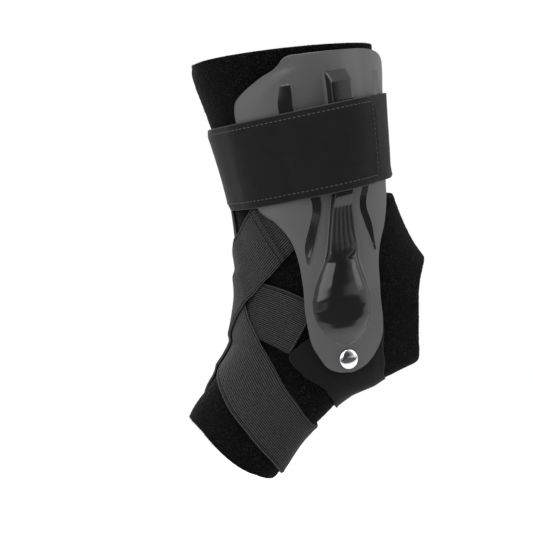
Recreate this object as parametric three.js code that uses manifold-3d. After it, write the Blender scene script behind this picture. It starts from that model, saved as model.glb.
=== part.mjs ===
// Ankle brace: a cloth sleeve with an open heel, two rigid side shells riveted to a heel
// stirrup, elastic straps crossed over the front, and a wide strap round the top.
// The origin is the ankle's centre. +Z runs up to the collar, -X to the front, -Y to the inner side.
// Millimetres throughout.
import * as THREE from 'three';
import { mergeVertices } from 'three/addons/utils/BufferGeometryUtils.js';
import Module from 'manifold-3d';

const wasm = await Module();
wasm.setup();
const { Vector3 } = THREE;
const { clamp, degToRad, lerp, smoothstep } = THREE.MathUtils;

// Driving sizes of the hollow inside
const collarHeight = 160;      // ankle centre up to the front of the top rim
const footDrop = 94;           // ankle centre down to the sole at the front rim
const toeReach = 109.5;        // ankle centre forward to the front rim
const heelReach = 74;          // ankle centre back to the furthest point behind
const collarHalfWidth = 52.5;  // middle line out to the side of the top rim

// Walls and clearances
const sleeveWall = 3.5;
const stirrupThickness = 1.6;
const elasticThickness = 1.8;
const shellThickness = 2.6;
const bandThickness = 2;
const flapThickness = 2.2;
const layerGap = 1;            // between two soft layers, at the corners of their facets
const rivetGap = 0.3;
const strapGap = 0.9;          // between the top strap and what it goes round

// Widths of the straps
const crossStrapWidth = 36;
const saddleStrapWidth = 35;
const topStrapWidth = 52;
const topStrapLow = 65;        // ankle centre up to the strap's lower edge
const topStrapBulge = 3;       // slack of the strap in front
const flapCornerRadius = 7;

// Relief of the side shells
const ribWidth = 11.5;
const ribHeight = 6;
const domeWidth = 34;
const sideRibWidth = 6;
const sideRibHeight = 1.2;

// Rivets
const rivetRadius = 6.2;
const rivetRise = 2.6;
const shankRadius = 2.4;

// Openings in the sleeve, seen from the side
const heelHoleTop = 7;         // ankle centre up to the heel hole's upper edge
const gapLow = 44;             // ankle centre up to the Achilles gap at its front end
const gapRise = 10;            // how far its lower edge climbs over gapRun
const gapRun = 27;
const gapTop = 80;

// Layers, as distances out from the hollow
const onSleeve = sleeveWall + layerGap;
const shellInside = onSleeve + elasticThickness + layerGap;
const shellOutside = shellInside + shellThickness;

// Smooth curve through the rows of a table; share runs from 0 at the first row to 1 at the last
function between(rows, share) {
  const last = rows.length - 1;
  const place = share * last;
  const i = clamp(Math.floor(place), 0, last - 1);
  const t = place - i;
  return rows[i].map((b, k) => {
    const c = rows[i + 1][k];
    const a = i > 0 ? rows[i - 1][k] : 2 * b - c;
    const d = i + 2 <= last ? rows[i + 2][k] : 2 * c - b;
    return b + 0.5 * t * (c - a + t * (2 * a - 5 * b + 4 * c - d + t * (3 * (b - c) + d - a)));
  });
}

// Cross-sections of the hollow, from the top rim to the front rim. Lengths are shares: x of
// toeReach forward and heelReach back, z of collarHeight up and footDrop down, width of
// collarHalfWidth. Egg makes the front blunter, and slant turns a section's sides (degrees).
const formColumns = ['frontX', 'frontZ', 'backX', 'backZ', 'width', 'egg', 'slant'];
const formTable = [
  [-0.534, 1.000, 0.736, 0.931, 1.000, 0.00, 0],    // top rim
  [-0.484, 0.812, 0.703, 0.800, 0.933, 0.00, 0],
  [-0.447, 0.612, 0.676, 0.625, 0.867, 0.00, 0],
  [-0.434, 0.425, 0.662, 0.425, 0.800, 0.00, 0],
  [-0.457, 0.275, 0.703, 0.275, 0.743, 0.00, 0],
  [-0.511, 0.125, 0.797, 0.125, 0.714, 0.03, 0],
  [-0.575, 0.000, 0.946, -0.043, 0.714, 0.06, 0],   // ankle bones
  [-0.644, -0.170, 1.000, -0.319, 0.705, 0.06, 4],  // furthest point behind
  [-0.721, -0.309, 0.784, -0.521, 0.686, 0.02, 8],
  [-0.804, -0.426, 0.392, -0.564, 0.676, -0.02, 12],
  [-0.881, -0.516, -0.037, -0.628, 0.686, -0.04, 16],
  [-0.945, -0.585, -0.338, -0.771, 0.714, -0.05, 19],
  [-1.000, -0.644, -0.612, -0.995, 0.743, -0.06, 22], // front rim
];
const slantShared = 0.3;       // share of the slant that both sides have alike
const along = (share) => share * (share < 0 ? toeReach : heelReach);
const upward = (share) => share * (share < 0 ? footDrop : collarHeight);
const sections = formTable.map((row) => {
  const at = Object.fromEntries(formColumns.map((name, k) => [name, row[k]]));
  return [along(at.frontX), upward(at.frontZ), along(at.backX), upward(at.backZ),
    at.width * collarHalfWidth, at.egg, at.slant];
});

// Point of the hollow: u runs from 0 at the top rim to 1 at the front rim, and theta, in degrees,
// from 0 in front over 90 on the inner side to 180 behind
function formPoint(u, theta) {
  const [frontX, frontZ, backX, backZ, halfWidth, egg, slant] = between(sections, u);
  const centre = new Vector3((frontX + backX) / 2, 0, (frontZ + backZ) / 2);
  const reach = new Vector3((frontX - backX) / 2, 0, (frontZ - backZ) / 2);
  const onward = new Vector3(-reach.z, 0, reach.x).normalize();
  const forward = Math.cos(degToRad(theta));
  const sideways = Math.sin(degToRad(theta));
  const slanted = lerp(sideways, sideways * sideways, slantShared) * Math.tan(degToRad(slant));
  centre.addScaledVector(reach, forward);
  centre.addScaledVector(onward, slanted * halfWidth);
  centre.y = -sideways * halfWidth * (1 + egg * forward);
  return centre;
}

// Local directions: along u and theta per unit of each, and the outward normal
function formFrame(u, theta) {
  const stepU = 1e-3;
  const stepTheta = 0.1;
  const alongU = formPoint(u + stepU, theta).sub(formPoint(u - stepU, theta));
  alongU.divideScalar(2 * stepU);
  const alongTheta = formPoint(u, theta + stepTheta).sub(formPoint(u, theta - stepTheta));
  alongTheta.divideScalar(2 * stepTheta);
  const normal = new Vector3().crossVectors(alongU, alongTheta).normalize();
  return { alongU, alongTheta, normal };
}

const formOffset = (u, theta, distance) =>
  formPoint(u, theta).addScaledVector(formFrame(u, theta).normal, distance);

// Walks over the form from a place, in a direction, for a distance
function walk(place, heading, distance) {
  const stepLength = 4;
  const steps = Math.max(1, Math.ceil(distance / stepLength));
  const direction = heading.clone();
  let { u, theta } = place;
  for (let n = 0; n < steps; n += 1) {
    const { alongU, alongTheta, normal } = formFrame(u, theta);
    direction.addScaledVector(normal, -direction.dot(normal)).normalize();
    const uu = alongU.dot(alongU);
    const ut = alongU.dot(alongTheta);
    const tt = alongTheta.dot(alongTheta);
    const u1 = alongU.dot(direction);
    const t1 = alongTheta.dot(direction);
    const scale = distance / steps / (uu * tt - ut * ut);
    u += scale * (u1 * tt - t1 * ut);
    theta += scale * (t1 * uu - u1 * ut);
  }
  return { u, theta };
}

// Closed body between an inner and an outer grid of points. A ring closes on itself along its
// rows, and a sheet gets walls on all four sides.
function slab(inner, outer, ring = false) {
  const rows = inner.length;
  const columns = inner[0].length;
  const positions = [...inner.flat(), ...outer.flat()].flatMap((p) => [p.x, p.y, p.z]);
  const at = (i, j, layer) => layer * rows * columns + i * columns + (j % columns);
  const faces = [];
  const quad = (a, b, c, d) => faces.push(a, b, c, a, c, d);
  const lastColumn = ring ? columns : columns - 1;
  for (let j = 0; j < lastColumn; j += 1) {
    for (let i = 0; i < rows - 1; i += 1) {
      quad(at(i, j, 0), at(i, j + 1, 0), at(i + 1, j + 1, 0), at(i + 1, j, 0));
      quad(at(i, j, 1), at(i + 1, j, 1), at(i + 1, j + 1, 1), at(i, j + 1, 1));
    }
    quad(at(0, j, 0), at(0, j, 1), at(0, j + 1, 1), at(0, j + 1, 0));
    quad(at(rows - 1, j, 0), at(rows - 1, j + 1, 0), at(rows - 1, j + 1, 1), at(rows - 1, j, 1));
  }
  for (let i = 0; i < rows - 1 && !ring; i += 1) {
    quad(at(i, 0, 0), at(i + 1, 0, 0), at(i + 1, 0, 1), at(i, 0, 1));
    quad(at(i, columns - 1, 0), at(i, columns - 1, 1), at(i + 1, columns - 1, 1),
      at(i + 1, columns - 1, 0));
  }
  const geometry = new THREE.BufferGeometry();
  geometry.setAttribute('position', new THREE.Float32BufferAttribute(positions, 3));
  geometry.setIndex(faces);
  return facingOut(geometry);
}

// Turns every face of a closed body round if its volume comes out negative
function facingOut(geometry) {
  const { array } = geometry.attributes.position;
  const index = [...geometry.index.array];
  const corner = (n) => new Vector3().fromArray(array, index[n] * 3);
  let volume = 0;
  for (let n = 0; n < index.length; n += 3) {
    volume += corner(n).dot(corner(n + 1).cross(corner(n + 2)));
  }
  if (volume < 0) geometry.setIndex(index.reverse());
  return geometry;
}

function toSolid(geometry) {
  const bare = geometry.clone();
  bare.deleteAttribute('normal');
  bare.deleteAttribute('uv');
  const merged = mergeVertices(bare);
  return new wasm.Manifold(new wasm.Mesh({
    numProp: 3,
    vertProperties: new Float32Array(merged.attributes.position.array),
    triVerts: new Uint32Array(merged.index.array),
  }));
}

function toGeometry(solid) {
  const mesh = solid.getMesh();
  const geometry = new THREE.BufferGeometry();
  geometry.setAttribute('position', new THREE.Float32BufferAttribute(mesh.vertProperties, 3));
  geometry.setIndex([...mesh.triVerts]);
  return geometry;
}

const cutAway = (geometry, cutters) =>
  toGeometry(cutters.reduce((left, cutter) => left.subtract(toSolid(cutter)), toSolid(geometry)));

const range = (count) => Array.from({ length: count + 1 }, (_, n) => n / count);

// Maps a grid of places on the form to points at a distance out from it
const lift = (grid, distance) =>
  grid.map((row) => row.map(({ u, theta }) => formOffset(u, theta, distance(u, theta))));

// Sleeve: a tube from rim to rim, with the heel hole and the Achilles gap cut through its back
function sleeve() {
  const lengthSteps = 31;
  const ringSteps = 30;
  const grid = range(lengthSteps).map((u) =>
    range(ringSteps).slice(0, -1).map((turn) => ({ u, theta: 360 * turn })));
  const tube = slab(lift(grid, () => 0), lift(grid, () => sleeveWall), true);
  return cutAway(tube, [sideCutter(heelHole()), sideCutter(achillesGap())]);
}

// A cutter of a side-view outline, wider than the sleeve
function sideCutter(outline) {
  const depth = 4 * collarHalfWidth;
  const curveSegments = 5;
  const cutter = new THREE.ExtrudeGeometry(outline, { depth, bevelEnabled: false, curveSegments });
  return cutter.rotateX(Math.PI / 2).translate(0, depth / 2, 0);
}

// Edge of the heel hole, from its corner behind the ankle down to the sole: x is a share of
// heelReach back, and z of heelHoleTop up or footDrop down
const holeEdge = {
  corner: [0.9, 1],
  cornerBend: [0.64, 0.4],
  side: [0.57, -0.2],
  sideBend: [0.5, -0.4],
  foot: [0.5, -0.53],
  end: [0.485, -0.9],
};
const pastHeel = 1.3 * heelReach;

function heelHole() {
  const at = ([x, z]) => [x * heelReach, z * (z < 0 ? footDrop : heelHoleTop)];
  const outline = new THREE.Shape();
  outline.moveTo(pastHeel, heelHoleTop);
  outline.lineTo(...at(holeEdge.corner));
  outline.quadraticCurveTo(...at(holeEdge.cornerBend), ...at(holeEdge.side));
  outline.quadraticCurveTo(...at(holeEdge.sideBend), ...at(holeEdge.foot));
  outline.lineTo(...at(holeEdge.end));
  outline.lineTo(pastHeel, at(holeEdge.end)[1]);
  return outline;
}

const gapFront = 0.36;         // share of heelReach at which the Achilles gap begins

function achillesGap() {
  const front = gapFront * heelReach;
  const outline = new THREE.Shape();
  outline.moveTo(front, gapLow);
  outline.lineTo(pastHeel, gapLow + (pastHeel - front) * gapRise / gapRun);
  outline.lineTo(pastHeel, gapTop);
  outline.lineTo(front, gapTop);
  return outline;
}

// A strap laid over the form: path is a table of places, and over names the straps under it.
// It climbs each of them before it reaches their edges.
function strap({ path, width, thickness, lengthSteps, widthSteps, over = [] }) {
  const place = (share) => {
    const [u, theta] = between(path, share);
    return { u, theta };
  };
  const stations = evenly(place, lengthSteps).map((share) => {
    const here = place(share);
    const ahead = place(share + 1e-3);
    const behind = place(share - 1e-3);
    const point = formPoint(here.u, here.theta);
    const { normal } = formFrame(here.u, here.theta);
    const tangent = formPoint(ahead.u, ahead.theta).sub(formPoint(behind.u, behind.theta));
    tangent.addScaledVector(normal, -tangent.dot(normal)).normalize();
    const across = new Vector3().crossVectors(normal, tangent);
    return { here, point, normal, tangent, across };
  });
  const grid = stations.map(({ here, across }) => range(widthSteps).map((share) => {
    const side = (share - 0.5) * width;
    return walk(here, across.clone().multiplyScalar(Math.sign(side) || 1), Math.abs(side));
  }));
  const rise = (point) => riseOver(over, point);
  const bottom = (u, theta) => onSleeve + rise(formPoint(u, theta));
  const geometry = slab(lift(grid, bottom), lift(grid, (u, theta) => bottom(u, theta) + thickness));
  return { geometry, rise, thickness, outside: (point) => outsideOf(stations, width, point) };
}

// Shares of a path at equal distances over the form
function evenly(place, count) {
  const samples = 160;
  const shares = range(samples);
  const points = shares.map((share) => place(share)).map(({ u, theta }) => formPoint(u, theta));
  const lengths = [0];
  for (let n = 1; n <= samples; n += 1) {
    lengths.push(lengths[n - 1] + points[n].distanceTo(points[n - 1]));
  }
  return range(count).map((part) => {
    const wanted = part * lengths[samples];
    const n = clamp(lengths.findIndex((length) => length >= wanted), 1, samples);
    const rest = (wanted - lengths[n - 1]) / (lengths[n] - lengths[n - 1]);
    return lerp(shares[n - 1], shares[n], rest);
  });
}

// How far a point of the form lies outside a strap's outline
function outsideOf(stations, width, point) {
  const distances = stations.map((station) => station.point.distanceTo(point));
  const nearest = distances.indexOf(Math.min(...distances));
  const { point: middle, normal, tangent, across } = stations[nearest];
  const away = point.clone().sub(middle);
  if (Math.abs(away.dot(normal)) > width / 2) return width;
  const pastEnd = nearest === 0 ? -away.dot(tangent) : away.dot(tangent);
  const isEnd = nearest === 0 || nearest === stations.length - 1;
  return Math.max(Math.abs(away.dot(across)) - width / 2, isEnd ? pastEnd : -width);
}

function riseOver(straps, point) {
  const margin = 8;
  const ramp = 10;
  const rises = straps.map((under) => {
    const cover = 1 - smoothstep(under.outside(point), margin, margin + ramp);
    return cover > 0 ? cover * (under.rise(point) + under.thickness + layerGap) : 0;
  });
  return Math.max(0, ...rises);
}

const mirrored = (path) => path.map(([u, theta]) => [u, -theta]);

// Saddle strap over the front of the ankle, from [u, theta] at its middle to its end at a shell
const saddleHalf = [[0.484, 0], [0.491, 14], [0.507, 29], [0.527, 42], [0.545, 53]];
const saddlePath = [...mirrored(saddleHalf).reverse(), ...saddleHalf.slice(1)];

// Cross straps, from the middle of the sole to the hem under a shell's front edge. The lower one
// climbs the inner side and ends on the outer side, and the upper one lies over it.
const lowerPath = [[0.927, 179.6], [0.922, 150], [0.911, 122], [0.898, 101], [0.877, 82],
  [0.855, 63], [0.79, 46], [0.716, 29], [0.655, 13], [0.609, 2], [0.559, -8], [0.5, -17],
  [0.44, -24], [0.38, -31.5], [0.335, -37.5], [0.305, -42]];
const upperPath = [[0.928, -179.6], [0.926, -150], [0.918, -122], [0.903, -100], [0.877, -82],
  [0.845, -66], [0.8, -51], [0.745, -40], [0.685, -33.5], [0.625, -31], [0.565, -28],
  [0.503, -21.5], [0.446, -10.5], [0.409, -1], [0.374, 11.5], [0.343, 23.5], [0.32, 33],
  [0.298, 42]];

function straps() {
  const elastic = { thickness: elasticThickness, widthSteps: 4 };
  const crossing = { ...elastic, width: crossStrapWidth, lengthSteps: 40 };
  const saddle = strap({ ...elastic, path: saddlePath, width: saddleStrapWidth, lengthSteps: 18 });
  const lower = strap({ ...crossing, path: lowerPath, over: [saddle] });
  const upper = strap({ ...crossing, path: upperPath, over: [saddle, lower] });
  return { saddle, lower, upper };
}

// Heel stirrup: a flat band under the sole that widens upward to a tab in front of each shell.
// Rows run from the tab to the middle of the sole, as [u, theta] of each edge.
const stirrupColumns = ['frontU', 'frontTheta', 'backU', 'backTheta'];
const stirrupHalf = [
  [0.588, 62, 0.575, 97],
  [0.618, 57.5, 0.605, 98],
  [0.645, 54.5, 0.637, 100],
  [0.668, 56.5, 0.662, 105],
  [0.706, 66, 0.700, 112],
  [0.748, 82, 0.727, 120],
  [0.784, 95, 0.750, 131],
  [0.825, 114, 0.771, 145],
  [0.854, 140, 0.784, 160],
  [0.868, 180, 0.790, 180],
];

function stirrup() {
  const lengthSteps = 30;
  const widthSteps = 5;
  const otherSide = stirrupHalf.slice(0, -1).reverse().map(
    ([frontU, frontTheta, backU, backTheta]) => [frontU, 360 - frontTheta, backU, 360 - backTheta]);
  const rows = [...stirrupHalf, ...otherSide];
  const across = (share) => {
    const values = between(rows, share);
    const at = Object.fromEntries(stirrupColumns.map((name, k) => [name, values[k]]));
    return (part) => ({
      u: lerp(at.frontU, at.backU, part), theta: lerp(at.frontTheta, at.backTheta, part),
    });
  };
  const shares = evenly((share) => across(share)(0.5), lengthSteps);
  const grid = shares.map((share) => range(widthSteps).map(across(share)));
  return slab(lift(grid, () => onSleeve), lift(grid, () => onSleeve + stirrupThickness));
}

// Side shell: rows from its top edge to its round lower end. Front, back and centre are angles.
// Ribs give how far each side rib lies from the middle one to the shell's edge, swell goes from
// 0 on the box rib to 1 on the ankle dome, and the rises are shares of ribHeight and
// sideRibHeight.
const shellColumns = ['u', 'front', 'back', 'centre', 'frontRib', 'backRib', 'swell', 'rise',
  'sideRise'];
const shellTable = [
  [0.006, 76, 112, 95.0, 0.45, 0.60, 0.00, 0.00, 0],
  [0.022, 66, 133, 95.0, 0.45, 0.60, 0.00, 0.50, 0],
  [0.044, 52, 143, 94.5, 0.46, 0.65, 0.00, 1.00, 0],
  [0.075, 34, 142, 93.5, 0.47, 0.70, 0.00, 1.00, 1],
  [0.113, 28, 137, 92.5, 0.43, 0.71, 0.00, 1.00, 1],
  [0.190, 27, 130, 88.5, 0.30, 0.50, 0.00, 1.00, 1],
  [0.262, 28, 123, 84.2, 0.19, 0.27, 0.00, 1.00, 1],
  [0.300, 40, 120, 82.5, 0.28, 0.28, 0.06, 0.62, 1],
  [0.345, 49, 114, 81.2, 0.43, 0.40, 0.23, 0.50, 1],
  [0.395, 53, 105, 79.2, 0.66, 0.62, 0.46, 0.55, 0],
  [0.450, 54, 99, 75.0, 0.70, 0.65, 0.80, 0.80, 0],
  [0.510, 54, 95, 72.3, 0.70, 0.65, 1.00, 0.88, 0],
  [0.565, 56, 94, 73.0, 0.70, 0.65, 0.56, 0.55, 0],
  [0.608, 60, 94, 75.0, 0.70, 0.65, 0.00, 0.00, 0],
  [0.660, 70, 92, 79.0, 0.70, 0.65, 0.00, 0.00, 0],
  [0.688, 81, 87, 84.0, 0.50, 0.50, 0.00, 0.00, 0],
];
const ribTop = 0.06;           // u of the box rib's square upper end
const ribTopStep = 0.004;      // u over which that end drops

function shellRow(share) {
  const values = between(shellTable, share);
  const row = Object.fromEntries(shellColumns.map((name, k) => [name, values[k]]));
  const perDegree = formFrame(row.u, row.centre).alongTheta.length();
  const room = Math.min(row.centre - row.front, row.back - row.centre);
  row.halfAngle = Math.min(lerp(ribWidth, domeWidth, row.swell) / 2 / perDegree, 0.6 * room);
  row.ribHalfAngle = Math.min(sideRibWidth / 2 / perDegree, 0.12 * room);
  row.frontRibAt = lerp(row.centre - row.halfAngle, row.front, row.frontRib);
  row.backRibAt = lerp(row.centre + row.halfAngle, row.back, row.backRib);
  row.rise = clamp(row.rise, 0, 1) * smoothstep(row.u, ribTop, ribTop + ribTopStep);
  row.sideRise = clamp(row.sideRise, 0, 1);
  return row;
}

// Height of the box rib, ankle dome and side ribs over the shell's plain face
function shellRelief(row, theta) {
  const boxPower = 24;
  const domePower = 2.6;
  const across = Math.abs(theta - row.centre) / row.halfAngle;
  const shape = 1 - Math.min(1, across) ** lerp(boxPower, domePower, clamp(row.swell * 2, 0, 1));
  const sideAcross = Math.min(Math.abs(theta - row.frontRibAt), Math.abs(theta - row.backRibAt));
  const sideShape = Math.max(0, 1 - sideAcross / row.ribHalfAngle);
  return Math.max(row.rise * ribHeight * shape, row.sideRise * sideRibHeight * sideShape);
}

// Angles across a shell's row, from its front edge to its back edge, on the crests and feet of
// the ribs
function shellStations(row) {
  const { front, back, centre, halfAngle, frontRibAt, backRibAt, ribHalfAngle } = row;
  const onDome = [-1, -0.94, -0.55, 0, 0.55, 0.94, 1].map((share) => centre + share * halfAngle);
  const onRib = (middle) => [-1, 0, 1].map((share) => middle + share * ribHalfAngle);
  return [front, (front + frontRibAt - ribHalfAngle) / 2, ...onRib(frontRibAt), ...onDome,
    ...onRib(backRibAt), back];
}

// Rows at equal shares, of which the one nearest the box rib's end gives way to two at its step
function shellRows() {
  const rowSteps = 22;
  const stepShares = [shareAtU(ribTop), shareAtU(ribTop + ribTopStep)];
  const clearOfStep = (share) => Math.abs(share - stepShares[0]) > 0.5 / rowSteps;
  const shares = [...range(rowSteps).filter(clearOfStep), ...stepShares];
  return shares.sort((a, b) => a - b).map(shellRow);
}

function shell(side) {
  const rows = shellRows();
  const dome = (row, theta) => shellRelief(row, theta) * clamp(row.swell, 0, 1);
  const inner = rows.map((row) => shellStations(row).map((theta) =>
    formOffset(row.u, side * theta, shellInside + dome(row, theta))));
  const outer = rows.map((row) => shellStations(row).map((theta) =>
    formOffset(row.u, side * theta, shellOutside + shellRelief(row, theta))));
  return cutAway(slab(inner, outer), [rivetBore(side, shankRadius, -2 * shellThickness),
    rivetBore(side, rivetRadius, 0)]);
}

// Share of the shell's table at a given u
function shareAtU(u) {
  let low = 0;
  let high = 1;
  for (let n = 0; n < 30; n += 1) {
    const middle = (low + high) / 2;
    if (between(shellTable, middle)[0] < u) low = middle;
    else high = middle;
  }
  return low;
}

// Rivets through the lower end of each shell, down to the stirrup
const rivetPlace = { u: 0.645, theta: 80 };

function rivetSeat(side) {
  const theta = side * rivetPlace.theta;
  const { normal } = formFrame(rivetPlace.u, theta);
  return { seat: formOffset(rivetPlace.u, theta, shellOutside), normal };
}

// Cutter for a rivet's shank or the flat under its cap, from a depth at the seat outward
function rivetBore(side, radius, depth) {
  const height = 4 * shellThickness;
  const bore = new THREE.CylinderGeometry(radius + rivetGap, radius + rivetGap, height, 14);
  const { seat, normal } = rivetSeat(side);
  return placed(bore.translate(0, depth + height / 2, 0), seat, normal);
}

// Turns a geometry's +Y to the normal and moves it to the seat
function placed(geometry, seat, normal) {
  const turn = new THREE.Quaternion().setFromUnitVectors(new Vector3(0, 1, 0), normal);
  return geometry.clone().applyQuaternion(turn).translate(seat.x, seat.y, seat.z);
}

function rivet(side) {
  const shankEnd = -(shellOutside - onSleeve - stirrupThickness) + rivetGap;
  const rim = 0.35 * rivetRise;
  const arc = range(4).map((share) => {
    const angle = share * Math.PI / 2;
    const height = rivetGap + rim + (rivetRise - rim) * Math.sin(angle);
    return new THREE.Vector2(rivetRadius * Math.cos(angle), height);
  });
  arc[arc.length - 1].x = 0;
  const profile = [
    new THREE.Vector2(0, shankEnd),
    new THREE.Vector2(shankRadius, shankEnd),
    new THREE.Vector2(shankRadius, rivetGap),
    new THREE.Vector2(rivetRadius, rivetGap),
    ...arc,
  ];
  const { seat, normal } = rivetSeat(side);
  return toGeometry(toSolid(placed(new THREE.LatheGeometry(profile, 16), seat, normal)));
}

// Furthest the sleeve and shells reach from the upright middle line at a height, all round
function reachAt(height) {
  const turns = range(240).slice(0, -1).map((turn) => 360 * turn - 180);
  const outline = turns.map((theta) => {
    let low = 0;
    let high = 0.5;
    for (let n = 0; n < 24; n += 1) {
      const middle = (low + high) / 2;
      if (formPoint(middle, theta).z > height) low = middle;
      else high = middle;
    }
    const row = shellRow(shareAtU(low));
    const turned = Math.abs(theta);
    const underShell = turned > row.front && turned < row.back;
    const reach = underShell ? shellOutside + shellRelief(row, turned) : sleeveWall;
    return formOffset(low, theta, reach);
  });
  return convexLoop(outline);
}

// Convex loop round points seen from above
function convexLoop(points) {
  const sorted = [...points].sort((a, b) => a.x - b.x || a.y - b.y);
  const turnsRight = (a, b, c) => (b.x - a.x) * (c.y - a.y) - (b.y - a.y) * (c.x - a.x) <= 0;
  const half = (list) => list.reduce((loop, point) => {
    while (loop.length > 1 && turnsRight(loop.at(-2), loop.at(-1), point)) loop.pop();
    return [...loop, point];
  }, []).slice(0, -1);
  return [...half(sorted), ...half([...sorted].reverse())];
}

// Distance from the upright middle line to a convex loop, in a direction given by its angle
function radiusAt(loop, turn) {
  const direction = new Vector3(-Math.cos(degToRad(turn)), -Math.sin(degToRad(turn)), 0);
  const reaches = loop.map((a, n) => {
    const b = loop[(n + 1) % loop.length];
    const edge = new Vector3(b.x - a.x, b.y - a.y, 0);
    const bottom = direction.x * edge.y - direction.y * edge.x;
    const share = (a.y * direction.x - a.x * direction.y) / -bottom;
    const reach = (a.x * edge.y - a.y * edge.x) / bottom;
    return share >= 0 && share <= 1 && reach > 0 ? reach : 0;
  });
  return Math.max(...reaches);
}

// Top strap: an elastic band round the back whose end lies under a flap round the front.
// Angles are measured round the middle line from the front to the inner side.
const flapEnd = 113.5;
const flapStart = -100;
const bandEnd = 76;
const seamGap = 0.5;           // degrees between the flap's sewn end and the band

// How far before the band's end the flap has risen over it, and over how many degrees
const flapRiseBefore = 12;
const flapRiseRun = 14;

function topStrap() {
  const levels = range(3).map((share) => topStrapLow + share * topStrapWidth);
  const loops = levels.map(reachAt);
  const widest = (loop, turn, step) =>
    Math.max(...[-1, -0.5, 0, 0.5, 1].map((share) => radiusAt(loop, turn + share * step)));
  const piece = (from, to, steps, base, thickness) => {
    const wall = (extra) => levels.map((height, k) => range(steps).map((share) => {
      const turn = lerp(from, to, share);
      const radius = widest(loops[k], turn, (to - from) / steps) + base(turn) + extra;
      const angle = degToRad(turn);
      return new Vector3(-radius * Math.cos(angle), -radius * Math.sin(angle), height);
    }));
    return slab(wall(0), wall(thickness));
  };
  const overBand = bandThickness + layerGap;
  const bulgeHalf = 50;
  const bulge = (turn) =>
    topStrapBulge * Math.cos(Math.PI / 2 * clamp(turn / bulgeHalf, -1, 1));
  const risen = bandEnd - flapRiseBefore;
  const flapBase = (turn) => strapGap + Math.max(bulge(turn),
    overBand * smoothstep(turn, risen - flapRiseRun, risen));
  const band = piece(bandEnd, 360 + flapStart - seamGap, 30, () => strapGap, bandThickness);
  const flap = piece(flapStart, flapEnd, 34, flapBase, flapThickness);
  return { band, flap: cutAway(flap, flapCorners()) };
}

// Cutters that round the free corners of the flap
function flapCorners() {
  const turn = degToRad(flapEnd);
  const out = new Vector3(-Math.cos(turn), -Math.sin(turn), 0);
  const end = new Vector3(Math.sin(turn), -Math.cos(turn), 0);
  const depth = collarHalfWidth;
  const overrun = 2;
  const radius = flapCornerRadius;
  const corner = new THREE.Shape();
  corner.moveTo(-radius, overrun);
  corner.lineTo(-radius, 0);
  corner.absarc(-radius, -radius, radius, Math.PI / 2, 0, true);
  corner.lineTo(overrun, -radius);
  corner.lineTo(overrun, overrun);
  return [1, -1].map((upOrDown) => {
    const options = { depth, bevelEnabled: false, curveSegments: 4 };
    const cutter = new THREE.ExtrudeGeometry(corner, options);
    const up = new Vector3(0, 0, upOrDown);
    const height = upOrDown > 0 ? topStrapLow + topStrapWidth : topStrapLow;
    const middle = out.clone().multiplyScalar(collarHalfWidth).setZ(height);
    middle.addScaledVector(out, -depth / 2);
    return facingOut(mergedIndex(cutter.applyMatrix4(
      new THREE.Matrix4().makeBasis(end, up, out).setPosition(middle))));
  });
}

function mergedIndex(geometry) {
  geometry.deleteAttribute('normal');
  geometry.deleteAttribute('uv');
  return mergeVertices(geometry);
}

// Finishes, as [colour, roughness, metalness]
const loopCloth = [0x0b0b0c, 0.95, 0];
const ribbedElastic = [0x35363a, 0.85, 0];
const smoothWebbing = [0x17171a, 0.7, 0];
const shellPlastic = [0x4a4a4c, 0.25, 0];
const chromed = [0xd8d8dc, 0.15, 1];

const group = new THREE.Group();

function add(name, geometry, [color, roughness, metalness]) {
  const material = new THREE.MeshStandardMaterial({ color, roughness, metalness });
  const mesh = new THREE.Mesh(geometry, material);
  mesh.name = name;
  group.add(mesh);
}

const { saddle, lower, upper } = straps();
const { band, flap } = topStrap();
add('sleeve', sleeve(), loopCloth);
add('heel_stirrup', stirrup(), smoothWebbing);
add('saddle_strap', saddle.geometry, ribbedElastic);
add('cross_strap_lower', lower.geometry, ribbedElastic);
add('cross_strap_upper', upper.geometry, ribbedElastic);
add('shell_medial', shell(1), shellPlastic);
add('shell_lateral', shell(-1), shellPlastic);
add('rivet_medial', rivet(1), chromed);
add('rivet_lateral', rivet(-1), chromed);
add('top_strap_band', band, ribbedElastic);
add('top_strap_flap', flap, smoothWebbing);

export default group;
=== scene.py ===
import math

import bpy
import numpy as np
from mathutils import Matrix


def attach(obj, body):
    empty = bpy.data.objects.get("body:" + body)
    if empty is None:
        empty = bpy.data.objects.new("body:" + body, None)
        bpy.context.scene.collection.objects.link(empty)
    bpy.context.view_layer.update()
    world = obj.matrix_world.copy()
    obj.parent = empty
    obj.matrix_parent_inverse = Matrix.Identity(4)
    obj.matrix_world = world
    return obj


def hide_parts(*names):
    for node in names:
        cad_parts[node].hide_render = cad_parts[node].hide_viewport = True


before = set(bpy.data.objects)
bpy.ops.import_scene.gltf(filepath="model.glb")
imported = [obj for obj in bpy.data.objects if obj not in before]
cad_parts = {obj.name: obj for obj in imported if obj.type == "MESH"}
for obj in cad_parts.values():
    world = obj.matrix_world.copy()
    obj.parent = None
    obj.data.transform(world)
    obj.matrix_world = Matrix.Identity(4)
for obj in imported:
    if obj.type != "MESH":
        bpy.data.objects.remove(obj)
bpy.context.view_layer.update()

mm = 0.001  # everything below is in millimetres until it becomes a mesh

# Camera at the photo's angle, turned to the inner side and rolled because the brace leans
cameraSetup = {
    "yaw": 24.0,          # degrees from the inner side towards the front
    "lean": 13.1,         # how far the brace leans back from upright
    "distance": 950.0,
    "rightOfAxis": -41.9, # where the view's middle lies from the ankle
    "aboveAxis": 15.3,
    "lens": 98.7,
    "sensor": 36.0,
}


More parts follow.
